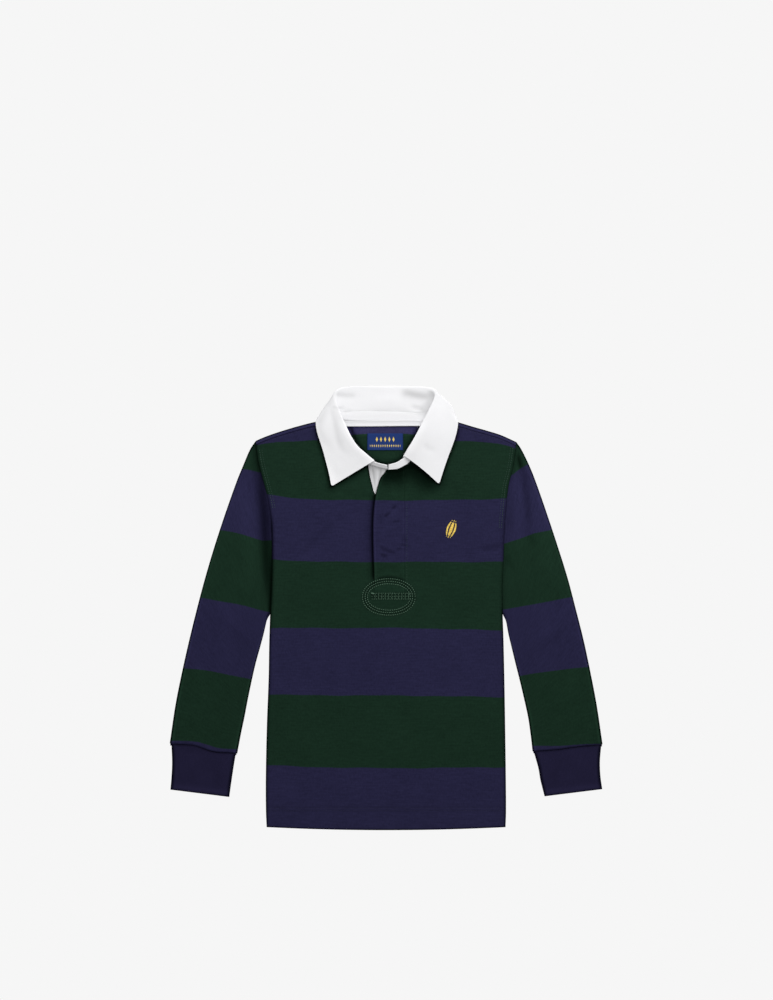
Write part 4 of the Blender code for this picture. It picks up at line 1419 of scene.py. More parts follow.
@dataclass(kw_only=True)
class Tube(ClothPiece):
    """A flattened tube of cloth between two silhouettes: what sleeves and cuffs share."""

    side: int
    rows: tuple[SleeveRow, ...]
    creases: tuple[Crease, ...]
    seam_wave: float
    radius: float = 2.3
    turn_steps: int = 7
    turn_length: float = 7.0

    def wave(self, share: Array) -> Array:
        """How far the cuff seam strays along the sleeve, at shares of its width."""
        return -self.seam_wave * np.sin(2 * math.pi * share) * np.sin(math.pi * share)

    def section(self, row: SleeveRow, shares: Array) -> tuple[Array, Array, Array, Array]:
        """A section of the tube.

        Args:
            row: where its silhouettes are.
            shares: the points' shares of its width.

        Returns:
            The outer and the inner silhouette's point, the way down the tube, and the points between.
        """
        outer, inner = np.array(row[:2]), np.array(row[2:4])
        along = unit(outer - inner)
        down = unit(np.array([outer[1] - inner[1], inner[0] - outer[0]]) * self.side)
        start, end = outer - along * self.radius, inner + along * self.radius
        return outer, inner, down, start + np.outer(shares, end - start)

    def ring(self, outer: Array, inner: Array, line: Array, top: Array, under: Array | float = 0.0) -> Array:
        """A flattened ring of points round a section.

        Args:
            outer: the outer silhouette's point.
            inner: the inner silhouette's point.
            line: points from the outer silhouette to the inner one.
            top: the height of the upper face at each of them.
            under: the height of the lower face.

        Returns:
            The ring: along the upper face, round the inner edge, back along the lower face, round the outer one.
        """
        along = unit(outer - inner)
        lower = np.column_stack([line, np.zeros(len(line)) + under])[::-1]
        turned = np.radians(np.linspace(90, -90, self.turn_steps + 2)[1:-1])

        def edge(tip: Array, way: Array, high: float, turns: Array) -> Array:
            """The points round one edge."""
            flat = tip - way * self.radius + np.outer(np.cos(turns) * self.radius, way)
            return np.column_stack([flat, high / 2 + high / 2 * np.sin(turns)])

        inner_turn = edge(inner, -along, top[-1], turned)
        outer_turn = edge(outer, along, top[0], turned[::-1])
        return np.concatenate([np.column_stack([line, top]), inner_turn, lower, outer_turn])

    def ring_shade(self, upper: Array, edge: float, lower: Array) -> Array:
        """The painted shade of a ring's points, from that on its upper face, its edges and its lower face."""
        turned = np.full(self.turn_steps, edge)
        return np.concatenate([upper, turned, lower, turned])

    def closed_grid(self, points: Array, cut: Array, shade: Array) -> ClothGrid:
        """The rings as a grid that is closed round the tube."""
        return ClothGrid(points, cut, closed=True, facing=Facing(self.side), shade=shade)


@dataclass(kw_only=True)
class Sleeve(Tube):
    """A sleeve, from the armhole to the cuff seam. Its stripes' edges are told from the cuff up."""

    stripe_edges: tuple[Path, ...]
    ripple: Undulation
    # how dark the painted shade beside the armhole seam is, and how far from it it reaches
    armhole_shade: float
    armhole_shade_reach: SmoothLine
    edge_height: float = 4.6
    sections: int = 128
    across: int = 64

    def cap(self) -> Array:
        """The line that follows the armhole, from shoulder to underarm."""
        silhouette = BODY.edge(self.side)
        start = float(BODY.shoulder(silhouette(199.0))) - BODY.seam_forward
        share = np.linspace(0, 1, self.across + 1)
        y = start + (BODY.underarm_y - start) * share
        return np.column_stack([silhouette(y) + self.side * (BODY.seam_gap + 0.1), y])

    def section_places(self) -> Array:
        """Where along the table the sections are: close at the armhole and at the cuff seam."""
        middles = [((row.outer_x + row.inner_x) / 2, (row.outer_y + row.inner_y) / 2) for row in self.rows]
        run = run_along(middles)
        ends = np.array([0.0, 0.5, 1.0, 1.6, 2.4, 3.6, 5.2])
        wanted = np.concatenate([ends, np.linspace(7.0, run[-1] - 7.0, self.sections), run[-1] - ends[::-1]])
        return np.interp(wanted, run, np.arange(len(self.rows)))

    def surface(self, x: Array, y: Array, to_edge: Array, from_seam: float, to_cuff: float) -> Array:
        """The height of the upper face.

        Args:
            x: places across.
            y: places along.
            to_edge: how far each is from the nearer silhouette.
            from_seam: how far they are from the armhole.
            to_cuff: how far they are from the cuff seam.

        Returns:
            The heights.
        """
        folds = relief(self.creases, x, y) * ease(0.5, 9.0, to_edge) * ease(0.0, 5.0, from_seam)
        ripple = self.ripple(x, y) * ease(2.0, 16.0, to_edge)
        ditch = -0.7 * bell(from_seam, 1.2) - 0.7 * bell(to_cuff, 1.1)
        puckers = 0.22 * np.sin(x * 0.62 + 2.0 * np.sin(x * 0.11)) * bell(to_cuff, 9.0)
        return np.maximum(self.edge_height + folds + ripple + ditch + puckers, 2.6)

    def shade(self, x: Array, y: Array, to_edge: Array, from_seam: float, to_cuff: float) -> Array:
        """How much painted shade the upper face has, from the same places as its height.

        Args:
            x: places across.
            y: places along.
            to_edge: how far each is from the nearer silhouette.
            from_seam: how far they are from the armhole.
            to_cuff: how far they are from the cuff seam.

        Returns:
            The painted shade.
        """
        # painted shade beside the armhole, at the seams and along the silhouette, with a painted highlight just inside
        # the edge
        beside = np.maximum((x - BODY.edge(self.side)(y)) * self.side, 0.0)
        reach = self.armhole_shade_reach(y)
        sewn = ease(BODY.underarm_y - 8.0, BODY.underarm_y + 6.0, y)
        armhole_shade = self.armhole_shade * (1 - ease(0.0, 1.0, (beside - 0.15 * reach) / (0.85 * reach)))
        deep = 1 - 0.7 * ease(40.0, 90.0, y) * (1 - ease(130.0, 165.0, y))
        armhole_shade = armhole_shade + 1.15 * self.armhole_shade * bell(beside, 2.4) * deep
        seams = 0.22 * bell(from_seam, 1.3) + 0.35 * bell(to_cuff, 1.3)
        rim = 0.5 * bell(to_edge - 0.3, 1.6) - 0.34 * bell(to_edge - 3.5, 1.2)
        # lighter towards the shoulder and darker towards the cuff: painted light that falls off down the sleeve
        fade = 0.04 - 0.10 * ease(-60.0, 150.0, y)
        return darker(relief(self.creases, x, y), 0.2) + np.maximum(armhole_shade * sewn, seams) + rim + fade

    def underside(self, x: Array, y: Array, to_edge: Array) -> Array:
        """The height of the lower face, whose creases lie a little below those above."""
        return 0.4 * np.tanh(0.9 * np.abs(relief(self.creases, x, y + 16.0))) * ease(4.0, 18.0, to_edge)

    def armhole(self) -> Array:
        """The armhole seam's points, from underarm to shoulder."""
        y = np.linspace(BODY.underarm_y + 0.5, 198.6, 90)
        return np.column_stack([BODY.edge(self.side)(y), y])

    def cuff_seam(self) -> Array:
        """The cuff seam's points, from one silhouette to the other."""
        outer, inner, down, _ = self.section(self.rows[-1], np.zeros(1))
        along = unit(outer - inner)
        share = np.linspace(0, 1, 40)
        seam = outer - along * 0.9 + np.outer(share, inner - outer + along * 1.8)
        return seam + np.outer(self.wave(share) + 0.15, down)

    def stripe_phase(self, x: Array, y: Array) -> Array:
        """Which stripe a place is in, as the body's own is told."""
        lines = []
        for number, edge in enumerate(self.stripe_edges):
            lines.append(SmoothLine(*zip(*edge))(x) + 0.3 * np.sin(x / 9.0 + number))
        return phase_between(lines, y)

    def grid(self) -> ClothGrid:
        """The points of the sleeve.

        Returns:
            The grid, one ring for each section, from the armhole to the cuff seam.
        """
        places = self.section_places()
        cap = self.cap()
        shares = (cap[0, 1] - cap[:, 1]) / (cap[0, 1] - cap[-1, 1])
        near_cuff = ease(len(self.rows) - 1.9, len(self.rows) - 1.0, places)
        sections, bend = [], None
        for told, near in zip(SmoothLine(range(len(self.rows)), self.rows)(places), near_cuff):
            row = SleeveRow(*told)
            outer, inner, down, line = self.section(row, shares)
            bend = cap - line if bend is None else bend
            line = line + bend * row.armhole_share + np.outer(self.wave(shares), down) * near
            sections.append((outer, inner, line))
        lengths = run_along([line.mean(axis=0) for _, _, line in sections])
        turn = np.linspace(0, self.turn_length, self.turn_steps + 2)[1:-1]
        points, cut, shades = [], [], []
        for (outer, inner, line), gone in zip(sections, lengths):
            width = np.linalg.norm(outer - inner)
            to_edge = np.minimum(shares, 1 - shares) * width + self.radius
            where = (line[:, 0], line[:, 1], to_edge)
            under = self.underside(*where)
            points.append(self.ring(outer, inner, line, self.surface(*where, gone, lengths[-1] - gone), under))
            # the turned edges painted dark, and painted shade in the underside's creases
            shades.append(self.ring_shade(self.shade(*where, gone, lengths[-1] - gone), 0.78, 0.6 * under[::-1]))
            faces = (shares * width, width + turn, width + self.turn_length + shares * width)
            around = np.concatenate([*faces, 2 * width + self.turn_length + turn])
            cut.append(np.column_stack([around, np.full(len(around), gone)]))
        points = np.stack(points)
        phase = self.stripe_phase(points[..., 0], points[..., 1])
        cut = np.concatenate([np.stack(cut), phase[..., None]], axis=-1)
        return self.closed_grid(points, cut, np.stack(shades))


@dataclass(kw_only=True)
class Cuff(Tube):
    """A cuff of doubled rib knit."""

    ribs: int = 48
    rib_points: int = 6
    rib_height: float = 0.28
    edge_height: float = 4.45
    sections: int = 26
    row_length: float = 18.0
    wall: Wall = Wall(1.25)

    def grid(self) -> ClothGrid:
        """The points of the cuff.

        Returns:
            The grid, one ring for each section, from the cuff seam to the cuff's end.
        """
        last = len(self.rows) - 1
        places = np.linspace(0, last, self.sections)
        places = np.concatenate([[0.0, 0.012, 0.03, 0.06], places[1:-1], last - np.array([0.05, 0.022, 0.0])])
        shares = np.linspace(0, 1, self.ribs * self.rib_points + 1)
        to_side = np.minimum(shares, 1 - shares)
        points, shades, middles, widths = [], [], [], []
        for place, row in zip(places, SmoothLine(range(last + 1), self.rows)(places)):
            outer, inner, down, line = self.section(row, shares)
            line = line + np.outer(self.wave(shares), down) * (1 - ease(0.0, 0.9, place))
            width = float(np.linalg.norm(outer - inner))
            at_seam, at_end = place * self.row_length, (last - place) * self.row_length
            rib = self.rib_height * (0.5 + 0.5 * np.cos(2 * math.pi * self.ribs * shares))
            rib = rib * ease(0.0, 2.0, at_seam) * ease(0.0, 1.6, at_end)
            folds = relief(self.creases, line[:, 0], line[:, 1]) * ease(0.02, 0.14, to_side)
            rim = -0.7 * bell(at_seam, 1.1) - 0.8 * bell(at_end, 0.9)
            points.append(self.ring(outer, inner, line, self.edge_height + folds + rim - rib))
            # painted shade at the seam, at the end and in the ribs' grooves, a painted highlight just above the end,
            # and the turned edges painted dark
            ends = 0.55 * bell(at_seam, 1.6) + 0.80 * bell(at_end, 1.4)
            lit = 0.24 * bell(at_end - 4.6, 3.2)
            upper = 0.45 * rib + darker(folds, 0.14) + np.maximum(ends, 0.5 * bell(to_side * width, 1.6)) - lit
            shades.append(self.ring_shade(upper, 0.74, 0.0 * upper))
            middles.append(line.mean(axis=0))
            widths.append(width)
        points = np.stack(points)
        around = np.linspace(0, 2 * np.array(widths) + 2 * self.turn_length, points.shape[1], axis=-1)
        cut = np.stack([around, run_along(middles)[:, None] + 0.0 * around, 0.0 * around], axis=-1)
        return self.closed_grid(points, cut, np.stack(shades))


@dataclass
class SeamAllowance:
    """The turned-in edges of a seam between two tubes: a strip inside, just under the seam."""

    name: str
    end_share: float = 1.0
    reach: float = 2.2
    top_z: float = 2.45
    wall: Wall = Wall(0.85)

    def build(self, path: Array, finish: Finish, slot: Slot) -> Piece:
        """Makes the strip.

        Args:
            path: the seam's points, across and along.
            finish: the cloth's material.
            slot: the cloth's slot; not used.

        Returns:
            The strip.
        """
        way = unit(np.gradient(path, axis=0))
        side = np.column_stack([-way[:, 1], way[:, 0]])
        share = np.linspace(-1, 1, 5)
        taper = self.end_share + (1 - self.end_share) * ease(0.0, 0.05, np.linspace(1, 0, len(path)))
        flat = path[:, None] + (side * taper[:, None])[:, None] * self.reach * share[None, :, None]
        points = np.concatenate([flat, np.full((*flat.shape[:2], 1), self.top_z)], axis=-1)
        up = np.cross(points[1, 0] - points[0, 0], points[0, 1] - points[0, 0])[2]
        grid = ClothGrid(points, body_cut(points), facing=Facing.DOWN if up > 0 else Facing.UP)
        piece = new_object(self.name, grid.mesh(self.name))
        thicken(piece, self.wall)
        return sewn_on(piece, finish)


# ---- the collar


class CollarRow(NamedTuple):
    """A collar section on the middle of the wall: foot, roll and edge, and how far the stand reaches."""

    neck_x: float
    neck_y: float
    neck_z: float
    seam_share: float
    roll_x: float
    roll_y: float
    roll_z: float
    edge_x: float
    edge_y: float
    edge_z: float
    flare: float


class StandRow(NamedTuple):
    """A section of the stand's bare end: its foot and its top."""

    neck_x: float
    neck_y: float
    neck_z: float
    top_x: float
    top_y: float
    top_z: float


@dataclass
class Collar:
    """The white collar: a stand round the neck and a fall turned down over it."""

    fall_sheet: Sheet = Sheet(
        "collar_fall_cloth", "collar_fall", Slot.TWILL, (0.380, 0.072), 0.0187, ("front_cloth", "back_cloth")
    )
    stand_sheet: Sheet = Sheet(
        "collar_stand_cloth", "collar_stand", Slot.TWILL, (0.215, 0.016), 0.00285, ("front_cloth", "back_cloth")
    )
    rows: tuple[CollarRow, ...] = table(
        CollarRow,
        (-17.5, 172.6, 4.9, 0.90, -14.2, 176.5, 10, -65.4, 145.8, 5.4, 0.1),
        (-26.3, 177.8, 4.8, 0.55, -23.8, 184.6, 12, -68.2, 161, 5.3, 0.6),
        (-35.1, 185.5, 4.6, 0.55, -34.8, 194.4, 13.2, -72.4, 177.6, 5.2, 1.2),
        (-43.9, 196.9, 4.5, 0.52, -43.2, 207, 13.8, -76.6, 192.6, 5.6, 1.2),
        (-51.4, 208.9, 4.8, 0.50, -49.4, 220.2, 13.4, -81.6, 207.6, 6.3, 1.2),
        (-57.2, 217.9, 5.4, 0.47, -54.6, 231.6, 12.2, -83.8, 218, 6.6, 1.2),
        (-60, 223.4, 5.6, 0.44, -58.8, 242.4, 10.6, -83.8, 224.8, 6.2, 1.2),
        (-59.6, 228, 4.4, 0.40, -61.4, 251, 8.8, -81.2, 227.2, 2.9, 1.4),
        (-55.6, 227.2, 3.4, 0.37, -61, 257.8, 6.8, -74.4, 225.6, 1.1, 1.4),
        (-49.6, 225.8, 2.9, 0.26, -56.6, 262.4, 4.8, -64, 220.8, 0.8, 1),
        (-40, 225.2, 2.8, 0.275, -47, 264.9, 3.2, -49.2, 218.8, 0.72, 0),
        (-24, 225, 2.8, 0.285, -29, 265.6, 2.4, -28.8, 218.4, 0.72, 0),
        (0, 225, 2.8, 0.275, 0, 265.8, 2.3, 0, 218.4, 0.72, 0),
        (24, 225, 2.8, 0.255, 27, 265.6, 2.4, 26.4, 218.4, 0.72, 0),
        (40, 225.2, 2.8, 0.225, 45.6, 264.9, 3.2, 48, 218.8, 0.72, 0),
        (49.6, 225.8, 2.9, 0.27, 55.8, 262.8, 4.8, 63.6, 220.8, 0.8, 2),
        (55.6, 227.2, 3.4, 0.37, 59.6, 258.6, 6.8, 75, 225.6, 1.1, 4.6),
        (59.6, 228, 4.4, 0.40, 58.6, 252, 8.8, 83.6, 226.2, 2.9, 4.4),
        (59.8, 223.2, 5.6, 0.44, 54.8, 243.6, 10.6, 86, 223.4, 6.2, 2.6),
        (57, 216.9, 5.4, 0.47, 50, 234, 12.2, 85.6, 215.8, 6.4, 1.6),
        (50, 208.7, 4.8, 0.50, 44.6, 223.6, 13.4, 83.4, 206.4, 6.1, 1.2),
        (43, 198.9, 4.5, 0.52, 38.8, 212, 13.8, 79.6, 195, 5.7, 1.2),
        (36.4, 188.4, 4.6, 0.55, 32.2, 200, 13.2, 74.4, 181.4, 5.2, 1.2),
        (30.6, 178.6, 5, 0.60, 25.8, 189.8, 12, 69, 165.6, 5.3, 1),
        (25.2, 172.8, 5.6, 0.92, 21.4, 182.2, 10, 63.6, 148.5, 5.4, 0.8),
    )
    right_end: tuple[StandRow, ...] = table(
        StandRow,
        (1.6, 167.6, 4.8, 1.5, 171.4, 7.6), (-8.4, 169.6, 4.8, -7.4, 173.3, 8.4),
    )
    left_end: tuple[StandRow, ...] = table(
        StandRow,
        (14.2, 167.4, 5.8, 13, 174.9, 8.6), (3, 166.1, 5.6, 2.9, 171.9, 7.9),
    )
    leaf_creases: tuple[Crease, ...] = table(
        Crease,
        (((-69, 252), (-64.8, 236), (-61.9, 218), (-58.8, 202), (-54.5, 191), (-44, 182)), -0.9, 4.6),
        (((-78, 232), (-74, 214), (-68, 196)), 0.5, 5), (((-70, 190), (-60, 172), (-52, 162)), 0.3, 6),
        (((44, 198), (50, 190), (60, 188)), -0.5, 4), (((70, 222), (72, 200), (66, 178)), 0.35, 8),
    )
    inside_creases: tuple[Crease, ...] = table(
        Crease,
        (((-28, 239), (-8, 236.4), (14, 237.6), (38, 232.4)), -0.45, 2.4),
        (((-62, 256), (-48, 253.8), (-34, 254.2)), -0.9, 3.8),
        (((20, 259.4), (32, 256), (44, 254.2), (58, 254)), -0.75, 4.4),
        (((28, 242.2), (37, 239.6), (46, 237.8)), -0.9, 2.5), (((-58, 240.6), (-50, 239.4)), -0.6, 2),
        (((-52, 234.6), (-42, 236.6)), -0.5, 2), (((-20, 248), (4, 250.4), (22, 248)), 0.45, 6),
    )
    turn_shades: tuple[Crease, ...] = table(
        Crease,
        (((56, 259), (52, 247), (48, 238), (44, 230)), -0.23, 6.4),
        (((24, 257.8), (34, 255.2), (48, 252.6), (60, 250.4)), -0.22, 5.2),
        (((30, 226.4), (38, 225.8), (45, 227)), -0.15, 2),
    )
    outer_shades: tuple[Crease, ...] = table(
        Crease,
        (((-67, 253), (-71, 243), (-74.5, 234), (-77.5, 226)), -0.11, 5),
        (((-62, 257.5), (-54, 255.6), (-46, 255.2)), -0.10, 3.4), (((-62, 241), (-57, 239.4), (-50, 239)), -0.10, 1.8),
        (((60, 257), (70, 250), (80, 238)), -0.08, 8),
    )
    roll_radius: float = 1.5
    tip_radius: float = 3.6
    fall_wall: Wall = Wall(1.25, 0.0, 0.2)
    stand_wall: Wall = Wall(1.25, 0.0, 0.15)
    steps: int = 9
    rise_steps: int = 12
    roll_steps: int = 8
    leaf_steps: int = 30

    def sections(self) -> dict[str, Array]:
        """Every section's points: neck, the roll's turn and the leaf.

        Returns:
            The points of each, and those of the seam between stand and fall.
        """
        last = len(self.rows) - 1
        ends = np.array([0.0, 0.03, 0.07, 0.12, 0.18, 0.25])
        middle = np.linspace(0.34, last - 0.34, (last - 1) * self.steps)
        places = np.concatenate([ends, middle, last - ends[::-1]])
        told = CollarRow(*SmoothLine(range(last + 1), self.rows)(places).T)
        neck, roll, edge = (np.stack(told[first : first + 3], axis=-1) for first in (0, 4, 7))
        to_neck, to_edge = unit(neck - roll), unit(edge - roll)
        crest, across = -unit(to_neck + to_edge), unit(to_edge - to_neck)
        half = np.arccos(np.clip((to_neck * to_edge).sum(axis=-1), -1, 1)) / 2
        centre = roll - crest * self.roll_radius
        turn = []
        for step in range(self.roll_steps + 1):
            angle = (half + (math.pi - 2 * half) * step / self.roll_steps)[:, None]
            turn.append(centre + self.roll_radius * (crest * np.sin(angle) - across * np.cos(angle)))
        turn = np.stack(turn, axis=1)
        way = unit(np.stack([-to_edge[:, 1], to_edge[:, 0], np.zeros(len(places))], axis=-1))
        way = np.where((way * across).sum(axis=-1, keepdims=True) < 0, -way, way)
        swell = across * 0.5 + way
        share = (1 - (1 - np.arange(1, self.leaf_steps + 1) / self.leaf_steps) ** 1.5)[None, :, None]
        bow = swell[:, None] * told.flare[:, None, None] * np.sin(math.pi * share)
        leaf = self.rounded(turn[:, -1:] + (edge[:, None] - turn[:, -1:]) * share + bow)
        seam = neck + (turn[:, 0] - neck) * told.seam_share[:, None]
        return {"neck": neck, "seam": seam, "turn": turn, "leaf": leaf}

    def rounded(self, leaf: Array) -> Array:
        """Rounds the leaf's two tips: points near a corner are drawn in from both of its edges.

        Args:
            leaf: the leaf's points.

        Returns:
            The points with round tips.
        """
        made = leaf.copy()
        for first, second in ((0, 1), (-1, -2)):
            down = unit(leaf[first, -1] - leaf[first, -4])
            out = unit(leaf[first, -1] - leaf[second, -1])
            to_front = ((leaf[first, -1] - leaf) * out).sum(axis=-1)
            to_outer = ((leaf[first, -1] - leaf) * down).sum(axis=-1)
            p = np.clip(1 - to_front / self.tip_radius, 0.0, 1.0)
            q = np.clip(1 - to_outer / self.tip_radius, 0.0, 1.0)
            made += (p * (np.sqrt(1 - q * q / 2) - 1) * self.tip_radius)[..., None] * out
            made += (q * (np.sqrt(1 - p * p / 2) - 1) * self.tip_radius)[..., None] * down
        return made

    def pressed(self, points: Array, creases: Sequence[Crease], among: Array) -> Array:
        """Sinks or raises points by creases, where a share says so."""
        rise = relief(creases, points[..., 0], points[..., 1]) * among
        return points + rise[..., None] * np.array([0.0, 0.0, 1.0])

    def inside_shade(self, x: Array, y: Array) -> Array:
        """How much painted shade the collar's inside has, in its creases and where it turns into the left leaf."""
        return darker(relief(self.inside_creases, x, y), 0.13) + self.strokes(self.turn_shades, x, y) - 0.02

    def strokes(self, shades: Sequence[Crease], x: Array, y: Array) -> Array:
        """How much painted shade some strokes give a place: the darkest that reaches it counts."""
        made = np.zeros(np.shape(x))
        for shade in shades:
            made = np.maximum(made, -shade.rise * bell(nearness(shade.path, x, y)[0], shade.reach))
        return made

    def lit_rims(self, points: Array) -> Array:
        """How much painted highlight lightens the leaves beside the roll, and the right one at its outer edge."""
        x, y = points[..., 0], points[..., 1]
        first = self.rise_steps + self.roll_steps
        from_roll = np.linalg.norm(points - points[:, first : first + 1], axis=-1)
        from_edge = np.linalg.norm(points - points[:, -1:], axis=-1)
        at_roll = np.where(x < 0, 0.15, 0.09) * bell(from_roll, 4.2) * (1 - ease(214.0, 230.0, y))
        at_roll = at_roll * (np.arange(points.shape[1]) >= self.rise_steps)
        return at_roll + 0.11 * bell(from_edge, 8.4) * (1 - ease(188.0, 210.0, y)) * (x < -30.0)

    def cut(self, points: Array) -> Array:
        """The places on the cut cloth: along the collar, and up it."""
        flat = np.zeros(points.shape[:2])
        around, up = run_along(points[:, points.shape[1] // 2]), run_along(points.mean(axis=0))
        return np.stack([around[:, None] + flat, up[None, :] + flat, flat], axis=-1)

    def build_fall(self, finish: Finish) -> Piece:
        """Makes the fall, from the stand's seam over the roll to its outer edge.

        Args:
            finish: its material.

        Returns:
            The fall.
        """
        told = self.sections()
        start = told["seam"] + unit(told["turn"][:, 0] - told["neck"]) * 0.03
        share = (np.arange(self.rise_steps) / self.rise_steps)[None, :, None]
        rise = start[:, None] + (told["turn"][:, :1] - start[:, None]) * share
        points = np.concatenate([rise, told["turn"], told["leaf"]], axis=1)
        at_back = ease(228.0, 236.0, points[..., 1])
        number = np.arange(points.shape[1])
        on_rise = (number < self.rise_steps)[None, :] * at_back
        points = self.pressed(points, self.inside_creases, on_rise)
        on_leaf = ease(self.rise_steps + self.roll_steps, self.rise_steps + self.roll_steps + 7, number)[None, :]
        on_top = ease(2.0, 5.0, points[..., 2])
        points = self.pressed(points, self.leaf_creases, on_leaf * on_top)
        x, y = points[..., 0], points[..., 1]
        # painted shade inside the collar and in the leaves' creases, with painted highlights on the leaves and at their
        # rims
        shade = self.inside_shade(x, y) * on_rise
        lit = np.where(x < 0, 0.038, 0.012)
        shade = shade + (darker(relief(self.leaf_creases, x, y), 0.06) - lit) * on_leaf * on_top
        shade = shade + self.strokes(self.outer_shades, x, y) * on_top - self.lit_rims(points)
        return self.fall_sheet.make(ClothGrid(points, self.cut(points), shade=shade), self.fall_wall, finish)

    def stand_end(self, ends: Sequence[StandRow], towards: Array, forward: bool) -> Array:
        """The bare stand in front of a leaf, from its tip to the leaf's first section.

        Args:
            ends: the table's two sections, in the order that they come round the neck.
            towards: the foot and the top of the section under the leaf that it joins.
            forward: whether the tip comes first.

        Returns:
            Rows of foot and top points.
        """
        rows = [*ends, towards.ravel()] if forward else [towards.ravel(), *ends]
        places = np.linspace(0, 2, 25)
        return SmoothLine(range(3), rows)(places[:-1] if forward else places[1:]).reshape(-1, 2, 3)

    def build_stand(self, finish: Finish) -> Piece:
        """Makes the stand, bare in front of the leaves.

        Args:
            finish: its material.

        Returns:
            The stand.
        """
        told = self.sections()
        under = np.stack([told["neck"], told["seam"]], axis=1)
        right = self.stand_end(self.right_end, under[0], True)
        left = self.stand_end(self.left_end, under[-1], False)
        pairs = np.concatenate([right, under, left])
        share = np.linspace(0, 1, 9)[None, :, None]
        points = pairs[:, :1] + (pairs[:, 1:] - pairs[:, :1]) * share
        at_back = ease(228.0, 236.0, points[..., 1])
        points = self.pressed(points, self.inside_creases, at_back)
        # painted shade inside the stand; its bare ends painted a little lighter
        folds = self.inside_shade(points[..., 0], points[..., 1]) * at_back
        bare = np.zeros(points.shape[:2])
        bare[: len(right)] = bare[-len(left) :] = -0.08
        return self.stand_sheet.make(ClothGrid(points, self.cut(points), shade=folds + bare), self.stand_wall, finish)


# ---- stitching


@dataclass
class StitchRow:
    """A row of stitches along a line on a surface."""

    path: Array
    height: Height
    length: float = 2.3
    gap: float = 0.7
    radius: float = 0.2

    def stitches(self) -> list[tuple[Array, Array]]:
        """The two ends of every stitch, on the surface.

        Returns:
            A start and an end for each.
        """
        gone = run_along(self.path)
        starts = np.arange(0.0, gone[-1] - self.length, self.length + self.gap)

        def at(place: Array) -> Array:
            """Points along the path."""
            x = np.interp(place, gone, self.path[:, 0])
            y = np.interp(place, gone, self.path[:, 1])
            return np.column_stack([x, y, self.height(x, y)])

        return list(zip(at(starts), at(starts + self.length)))


def thread_mesh(name: str, rows: Sequence[StitchRow], lifted: float = 0.35) -> bpy.types.Mesh:
    """A mesh of many short threads, each round, with its ends drawn in.

    Args:
        name: the mesh's name.
        rows: the rows of stitches.
        lifted: how far each thread's middle stands above its ends, in radii.

    Returns:
        The mesh.
    """
    shape = ((0.0, 0.12, -0.9), (0.16, 0.85, 0.2), (0.5, 1.0, 0.5), (0.84, 0.85, 0.2), (1.0, 0.12, -0.9))
    sides = 6
    points, faces, cut = [], [], []
    for row in rows:
        for start, end in row.stitches():
            way = end - start
            length = np.linalg.norm(way)
            way = way / length
            across = np.cross(way, (0.0, 0.0, 1.0))
            across = across / np.linalg.norm(across)
            up = np.cross(across, way)
            first = len(points)
            for share, swell, rise in shape:
                middle = start + way * length * share + up * row.radius * (rise + lifted)
                for side in range(sides):
                    turn = 2 * math.pi * side / sides
                    out = across * math.cos(turn) + up * math.sin(turn)
                    points.append(middle + out * row.radius * swell)
                    cut.append((share * length, turn * row.radius, 0.0))
            for ring in range(len(shape) - 1):
                for side in range(sides):
                    a, b = first + ring * sides + side, first + ring * sides + (side + 1) % sides
                    faces.append((a, a + sides, b + sides, b))
            last = first + (len(shape) - 1) * sides
            faces.append(tuple(first + side for side in range(sides)))
            faces.append(tuple(last + side for side in reversed(range(sides))))
    data = bpy.data.meshes.new(name)
    data.from_pydata((np.array(points) * MM).tolist(), [], faces)
    tell(data, "cut_place", "FLOAT_VECTOR", np.array(cut))
    data.shade_smooth()
    return data


def sew(name: str, rows: Sequence[StitchRow], finish: Finish) -> Piece:
    """Makes a piece of stitching and sews it on."""
    return sewn_on(new_object(name, thread_mesh(name, rows)), finish)


def oval(centre: tuple[float, float], half_width: float, half_height: float) -> Array:
    """A closed line round an oval with full sides."""
    turn = np.linspace(0, 2 * math.pi, 200)
    cosine, sine = (np.sign(wave) * np.abs(wave) ** 0.94 for wave in (np.cos(turn), np.sin(turn)))
    return np.column_stack([centre[0] + cosine * half_width, centre[1] + sine * half_height])


